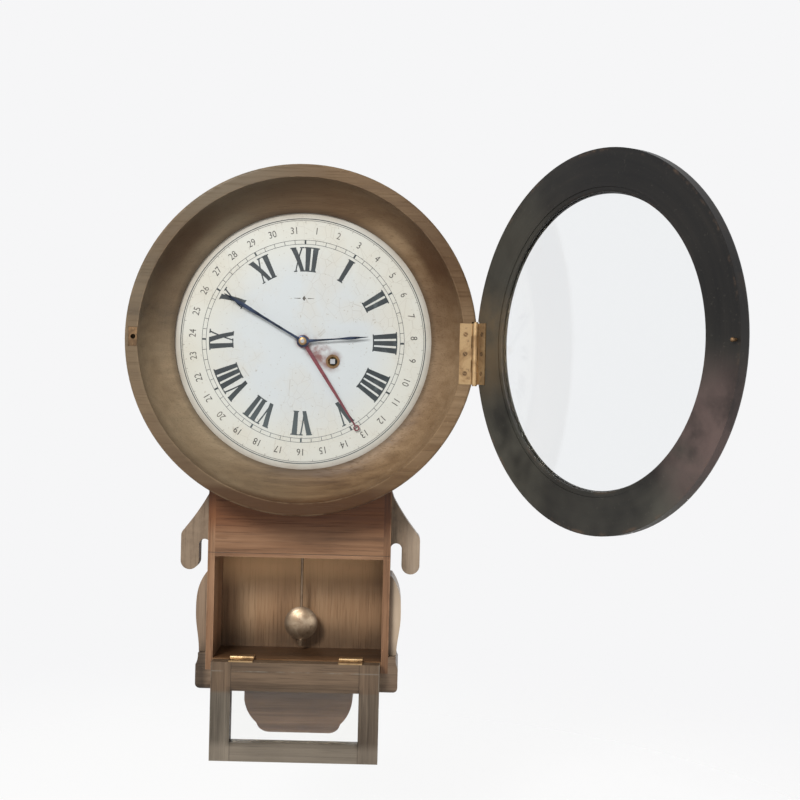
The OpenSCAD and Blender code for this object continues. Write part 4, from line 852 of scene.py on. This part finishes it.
def make_numerals():
    """The twelve hours, their feet to the middle of the dial."""
    shape = Shape()
    for hour, text in enumerate(NUMERALS):
        clock = hour * 30
        u = -sum(WIDE[c] for c in text) / 2
        for c in text:
            mid, half = u + WIDE[c] / 2, WIDE[c] / 2 - SIDE
            if c == "I":
                stroke(shape, mid, mid, THICK, clock, INK_D)
                serif(shape, mid, WIDE[c], True, clock)
                serif(shape, mid, WIDE[c], False, clock)
            if c == "V":
                stroke(shape, mid, mid - half, THICK * 0.95, clock, INK_D)
                stroke(shape, mid, mid + half, THIN, clock, INK_D + LIFT)
                serif(shape, mid - half, THICK_SERIF, True, clock)
                serif(shape, mid + half, THIN_SERIF, True, clock)
            if c == "X":
                stroke(shape, mid + half, mid - half, THICK * 0.95, clock, INK_D)
                stroke(shape, mid - half, mid + half, THIN, clock, INK_D + LIFT)
                for side, width in ((-1, THICK_SERIF), (1, THIN_SERIF)):
                    serif(shape, mid + side * half, width, True, clock)
                    serif(shape, mid - side * half, width, False, clock)
            u += WIDE[c]
    piece("dial_numerals", shape.points, shape.faces, ink, "case")


def ring_line(shape, out, width):
    """A printed circle."""
    shape.turned([(out - width / 2, DIAL_D), (out + width / 2, DIAL_D),
                  (out + width / 2, INK_D), (out - width / 2, INK_D)], 240)


# Geometry Nodes: copies of a mark round the dial, and of a screw head at points

def new_tree(name, *inputs):
    """A Geometry Nodes tree, and its inputs as Flows by name."""
    tree = bpy.data.node_groups.new(name, "GeometryNodeTree")
    face = tree.interface
    for given, kind in (("Geometry", "Geometry"),) + inputs:
        face.new_socket(given, in_out="INPUT", socket_type="NodeSocket" + kind)
    face.new_socket("Geometry", in_out="OUTPUT", socket_type="NodeSocketGeometry")
    start = tree.nodes.new("NodeGroupInput")
    return tree, {s.name: Flow(tree, s) for s in start.outputs if s.name}


def set_copies(tree, points, thing, material, **more):
    """Ends a tree: copies of an object on points, as one plain mesh with a material."""
    flow = Flow(tree)
    thing = flow.node("GeometryNodeObjectInfo", {}, {0: thing}, out="Geometry")
    copies = flow.node("GeometryNodeInstanceOnPoints", {}, {
        "Points": points, "Instance": thing, **more})
    plain = flow.node("GeometryNodeRealizeInstances", {}, {0: copies})
    done = flow.node("GeometryNodeSetMaterial", {}, {0: plain, 2: material})
    tree.links.new(done.socket, tree.nodes.new("NodeGroupOutput").inputs[0])
    return tree


def round_tree():
    """A tree that sets copies of a mark round the dial's axis, at even steps."""
    tree, given = new_tree("copies_round_an_axis", ("Mark", "Object"), ("Count", "Int"),
                           ("Finish", "Material"))
    flow = Flow(tree)
    angle = flow.node("GeometryNodeInputIndex") * (2 * math.pi / given["Count"])
    turn = flow.node("FunctionNodeAxisAngleToRotation", {}, {0: (0.0, 1.0, 0.0), 1: angle})
    points = flow.node("GeometryNodePoints", {}, {0: given["Count"]})
    return set_copies(tree, points, given["Mark"], given["Finish"], Rotation=turn)


def screw_tree():
    """A tree that sets a slotted head at each point, its slot turned at random."""
    tree, given = new_tree("slotted_heads", ("Head", "Object"), ("Size", "Float"),
                           ("Facing", "Rotation"), ("Seed", "Int"), ("Finish", "Material"))
    flow = Flow(tree)
    spin = flow.node("FunctionNodeRandomValue", {"data_type": "FLOAT"}, {
        2: 0.0, 3: math.pi, "Seed": given["Seed"]}, out=1)
    turn = flow.node("FunctionNodeAxisAngleToRotation", {}, {0: (0.0, 0.0, 1.0), 1: spin})
    facing = flow.node("FunctionNodeRotateRotation", {"rotation_space": "LOCAL"}, {
        0: given["Facing"], 1: turn})
    return set_copies(tree, given["Geometry"], given["Head"], given["Finish"],
                      Rotation=facing, Scale=given["Size"])


def grown(name, base, tree, values, body):
    """Runs a tree on a base mesh, keeps the plain mesh and puts it on a body."""
    source = placed(name + "_source", base)
    modifier = source.modifiers.new("copies", "NODES")
    modifier.node_group = tree
    ids = {s.name: s.identifier for s in tree.interface.items_tree if s.in_out == "INPUT"}
    for key, value in values.items():
        modifier[ids[key]] = value
    mesh = evaluated_mesh(source)
    source.modifiers.clear()
    bpy.data.objects.remove(source)
    mesh.name = name
    made = placed(name, mesh)
    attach(made, body)


ROUND, SCREWS = round_tree(), screw_tree()


def copies_round(name, outline, depth, count, material):
    """Copies of a printed mark round the dial."""
    shape = Shape()
    shape.prism(outline, DIAL_D, depth)
    mark = piece(name + "_mark", shape.points, shape.faces, material, None)
    grown(name, bpy.data.meshes.new(name), ROUND,
          {"Mark": mark, "Count": count, "Finish": material}, "case")
    bpy.data.objects.remove(mark)


def bar(half, low, high):
    """An upright rectangle about x = 0."""
    return [(-half, low), (half, low), (half, high), (-half, high)]


def make_tracks():
    """The minute track, the date ring's dividing lines and their circles."""
    lines = Shape()
    low, high = TRACK
    for out, width in ((low, 0.35), (high, 0.35), (DATE_EDGE, 0.35), (DATE_EDGE + 1.4, 0.7)):
        ring_line(lines, out, width)
    piece("dial_circles", lines.points, lines.faces, ink, "case")
    copies_round("minute_track", bar(0.2, low, high), INK_D - LIFT, 60, ink)
    copies_round("five_minute_marks", bar(0.75, low + 0.2, high - 0.2), INK_D + LIFT, 12, ink)
    copies_round("date_divisions", bar(0.12, DATE_EDGE - 1.8, DATE_EDGE), INK_D - LIFT, 31,
                 date_ink)


def make_dates():
    """The numbers 1 to 31 round the edge of the dial, feet to the middle."""
    shape = Shape()
    for day in range(1, 32):
        letters = bpy.data.curves.new("date", "FONT")
        letters.body, letters.size = str(day), DATE_SIZE
        letters.align_x, letters.resolution_u = "CENTER", 3
        letters.extrude = INK_T / 2
        holder = placed("date", letters)
        mesh = evaluated_mesh(holder)
        clock = math.radians((day - 0.5) * 360 / 31)
        first = len(shape.points)
        for vertex in mesh.vertices:
            x, z = vertex.co.x * DATE_NARROWED, vertex.co.y + DATE_FOOT
            shape.points.append((x * math.cos(clock) + z * math.sin(clock),
                                 DIAL_D + INK_T / 2 + vertex.co.z,
                                 -x * math.sin(clock) + z * math.cos(clock)))
        shape.faces += [[first + v for v in face.vertices] for face in mesh.polygons]
        bpy.data.objects.remove(holder)
    piece("date_numbers", shape.points, shape.faces, date_ink, "case")


def make_flourish():
    """A plain lozenge between two dashes, where a dial often carries a mark."""
    shape = Shape()
    z = FLOURISH_Z
    shape.prism([(0, z - 2.2), (1.5, z), (0, z + 2.2), (-1.5, z)], DIAL_D, INK_D)
    for side in (-1, 1):
        shape.prism([(side * 3, z - 0.35), (side * 8.5, z - 0.12),
                     (side * 8.5, z + 0.12), (side * 3, z + 0.35)], DIAL_D, INK_D)
    piece("dial_flourish", shape.points, shape.faces, date_ink, "case")


make_numerals()
make_tracks()
make_dates()
make_flourish()


# Hands with a ridge along the middle and a domed boss

def make_hand(name, node, body, material, clock, d, length, boss, hole, widths,
              ridge=0.3):
    """A hand from the dial's axis, at clock in degrees from XII; its back is flat at depth d.

    boss and hole are radii, and widths are (share of the length, half width).
    """
    t = 0.6                 # thickness under the ridge
    rows = [(s * length, w) for s, w in widths]
    shape = Shape()
    a = math.radians(clock)

    def put(x, out, depth):
        shape.points.append((x * math.cos(a) + out * math.sin(a), depth,
                             -x * math.sin(a) + out * math.cos(a)))
        return len(shape.points) - 1

    sections = []
    for out, w in rows:
        edge = t * 0.55
        sections.append([put(-w, out, d), put(-w, out, d + edge), put(0, out, d + t + ridge
                         * min(1, w / 0.9)), put(w, out, d + edge), put(w, out, d)])
    for one, two in zip(sections, sections[1:]):
        for k in range(5):
            shape.faces.append([one[k], one[(k + 1) % 5], two[(k + 1) % 5], two[k]])
    shape.faces.append(sections[0][::-1])
    shape.faces.append(sections[-1])
    dome = [(hole, d), (boss, d), (boss, d + t * 0.6)]
    dome += [(hole + (boss - hole) * math.cos(b), d + t * 0.6 + 0.5 * math.sin(b))
             for b in (0.3, 0.7, 1.1, 1.5)]
    shape.turned(dome + [(hole, d + t + 0.2)], 64)
    made = piece(name, shape.points, shape.faces, material, body)
    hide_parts(node)


make_hand("minute_hand_blued", "minute_hand", "centre", blued,
          clock=300, d=83, length=77, boss=4, hole=1.65,
          widths=[(0.045, 1.1), (0.2, 0.9), (0.52, 1.05), (0.66, 1.5), (0.74, 1.7),
                  (0.82, 1.4), (0.92, 0.8), (0.985, 0.3), (1, 0.06)])
make_hand("hour_hand_blued", "hour_hand", "hour_work", blued,
          clock=85, d=81, length=55, boss=5, hole=2.95, ridge=0.35,
          widths=[(0.085, 1.4), (0.25, 0.8), (0.52, 0.6), (0.60, 0.8), (0.68, 1.15),
                  (0.74, 1.25), (0.81, 1.0), (0.88, 0.6), (0.96, 0.3), (1, 0.06)])


def make_calendar_hand():
    """Slim red hand that ends in an eye and a point."""
    d, clock = 79, 147
    make_hand("calendar_hand_red", "calendar_hand", "calendar_work", red_steel,
              clock=clock, d=d, length=83.4, boss=5.4, hole=3.65, ridge=0.15,
              widths=[(0.066, 1.5), (0.25, 1.5), (0.5, 1.35), (0.75, 1.0), (1, 0.6)])
    shape = Shape()
    shape.turned([(1.5, d), (2.5, d), (2.6, d + 0.35), (2.0, d + 0.62), (1.5, d + 0.35)], 40,
                 spot(85.3, clock))
    piece("calendar_hand_eye", shape.points, shape.faces, red_steel, "calendar_work")


make_calendar_hand()


# Screw heads with slots

def make_head():
    """A slotted flat head one unit in radius, facing local Z, its rim at height 0."""
    work = bmesh.new()
    steps, loops = 32, []
    for r, h in ((1.0, -0.12), (1.0, 0.0), (0.92, 0.03), (0.6, 0.05)):
        loops.append([work.verts.new((r * math.cos(2 * math.pi * i / steps),
                                      r * math.sin(2 * math.pi * i / steps), h))
                      for i in range(steps)])
    for one, two in zip(loops, loops[1:]):
        for i in range(steps):
            j = (i + 1) % steps
            work.faces.new((one[i], one[j], two[j], two[i]))
    work.faces.new(loops[-1])
    work.faces.new(loops[0][::-1])
    mesh = bpy.data.meshes.new("screw_head")
    work.to_mesh(mesh)
    work.free()
    head = placed("screw_head", mesh)
    cutter_mesh = bpy.data.meshes.new("slot")
    work = bmesh.new()
    bmesh.ops.create_cube(work, size=1.0)
    bmesh.ops.scale(work, vec=(2.4, 0.16, 1.0), verts=work.verts)
    bmesh.ops.translate(work, vec=(0, 0, 0.39), verts=work.verts)
    work.to_mesh(cutter_mesh)
    work.free()
    cutter = placed("slot", cutter_mesh)
    cut = head.modifiers.new("slot", "BOOLEAN")
    cut.operation, cut.object, cut.solver = "DIFFERENCE", cutter, "EXACT"
    mesh = evaluated_mesh(head)
    head.modifiers.clear()
    head.data = mesh
    bpy.data.objects.remove(cutter)
    return head


HEAD = make_head()


def screws(name, places, facing, size, body, seed, material=brass):
    """Slotted heads at (x, d, z) places; facing turns local Z to the way they look.

    size is a head's radius.
    """
    base = bpy.data.meshes.new(name)
    base.from_pydata([(x * MM, -d * MM, z * MM) for x, d, z in places], [], [])
    grown(name, base, SCREWS, {"Head": HEAD, "Size": size * MM, "Facing": facing,
                               "Seed": seed, "Finish": material}, body)


def as_opened(x, d, z):
    """Where a point of the bezel lies in the drawn pose, from its place when shut."""
    a = math.radians(OPEN)
    across, along = x - HINGE[0], HINGE[1] - d
    return (HINGE[0] + across * math.cos(a) - along * math.sin(a),
            HINGE[1] - across * math.sin(a) - along * math.cos(a), z)


FORWARD = (math.pi / 2, 0, 0)
UP = (0, 0, 0)
LEAF_Z = (-24, -8, 8)
CATCH_X, CATCH_Z = -137.5, (-6, 6)
DOOR_LEAF_X, DOOR_LEAF_TOP = 46, -268.83
screws("fixed_leaf_screw_heads", [(LEAF_X, FRONT_D + 0.39, z) for z in LEAF_Z], FORWARD,
       size=2.0, body="case", seed=3, material=dull_brass)
screws("moving_leaf_screw_heads", [as_opened(LEAF_X, FRONT_D + 0.61, z) for z in LEAF_Z],
       (-math.pi / 2, 0, math.radians(OPEN)), size=2.0, body="bezel", seed=4,
       material=dull_brass)
screws("catch_screw_heads", [(CATCH_X, FRONT_D + 0.02, z) for z in CATCH_Z], FORWARD,
       size=1.3, body="case", seed=5, material=dull_brass)
for body, depth, seed in (("case", 58.5, 8), ("trunk_door", 76.3, 9)):
    spots = [(side * DOOR_LEAF_X + x, depth, DOOR_LEAF_TOP)
             for side in (-1, 1) for x in (-6.4, 6.4)]
    screws(body + "_door_leaf_screw_heads", spots, UP, size=1.2, body=body, seed=seed)

bpy.data.objects.remove(HEAD)
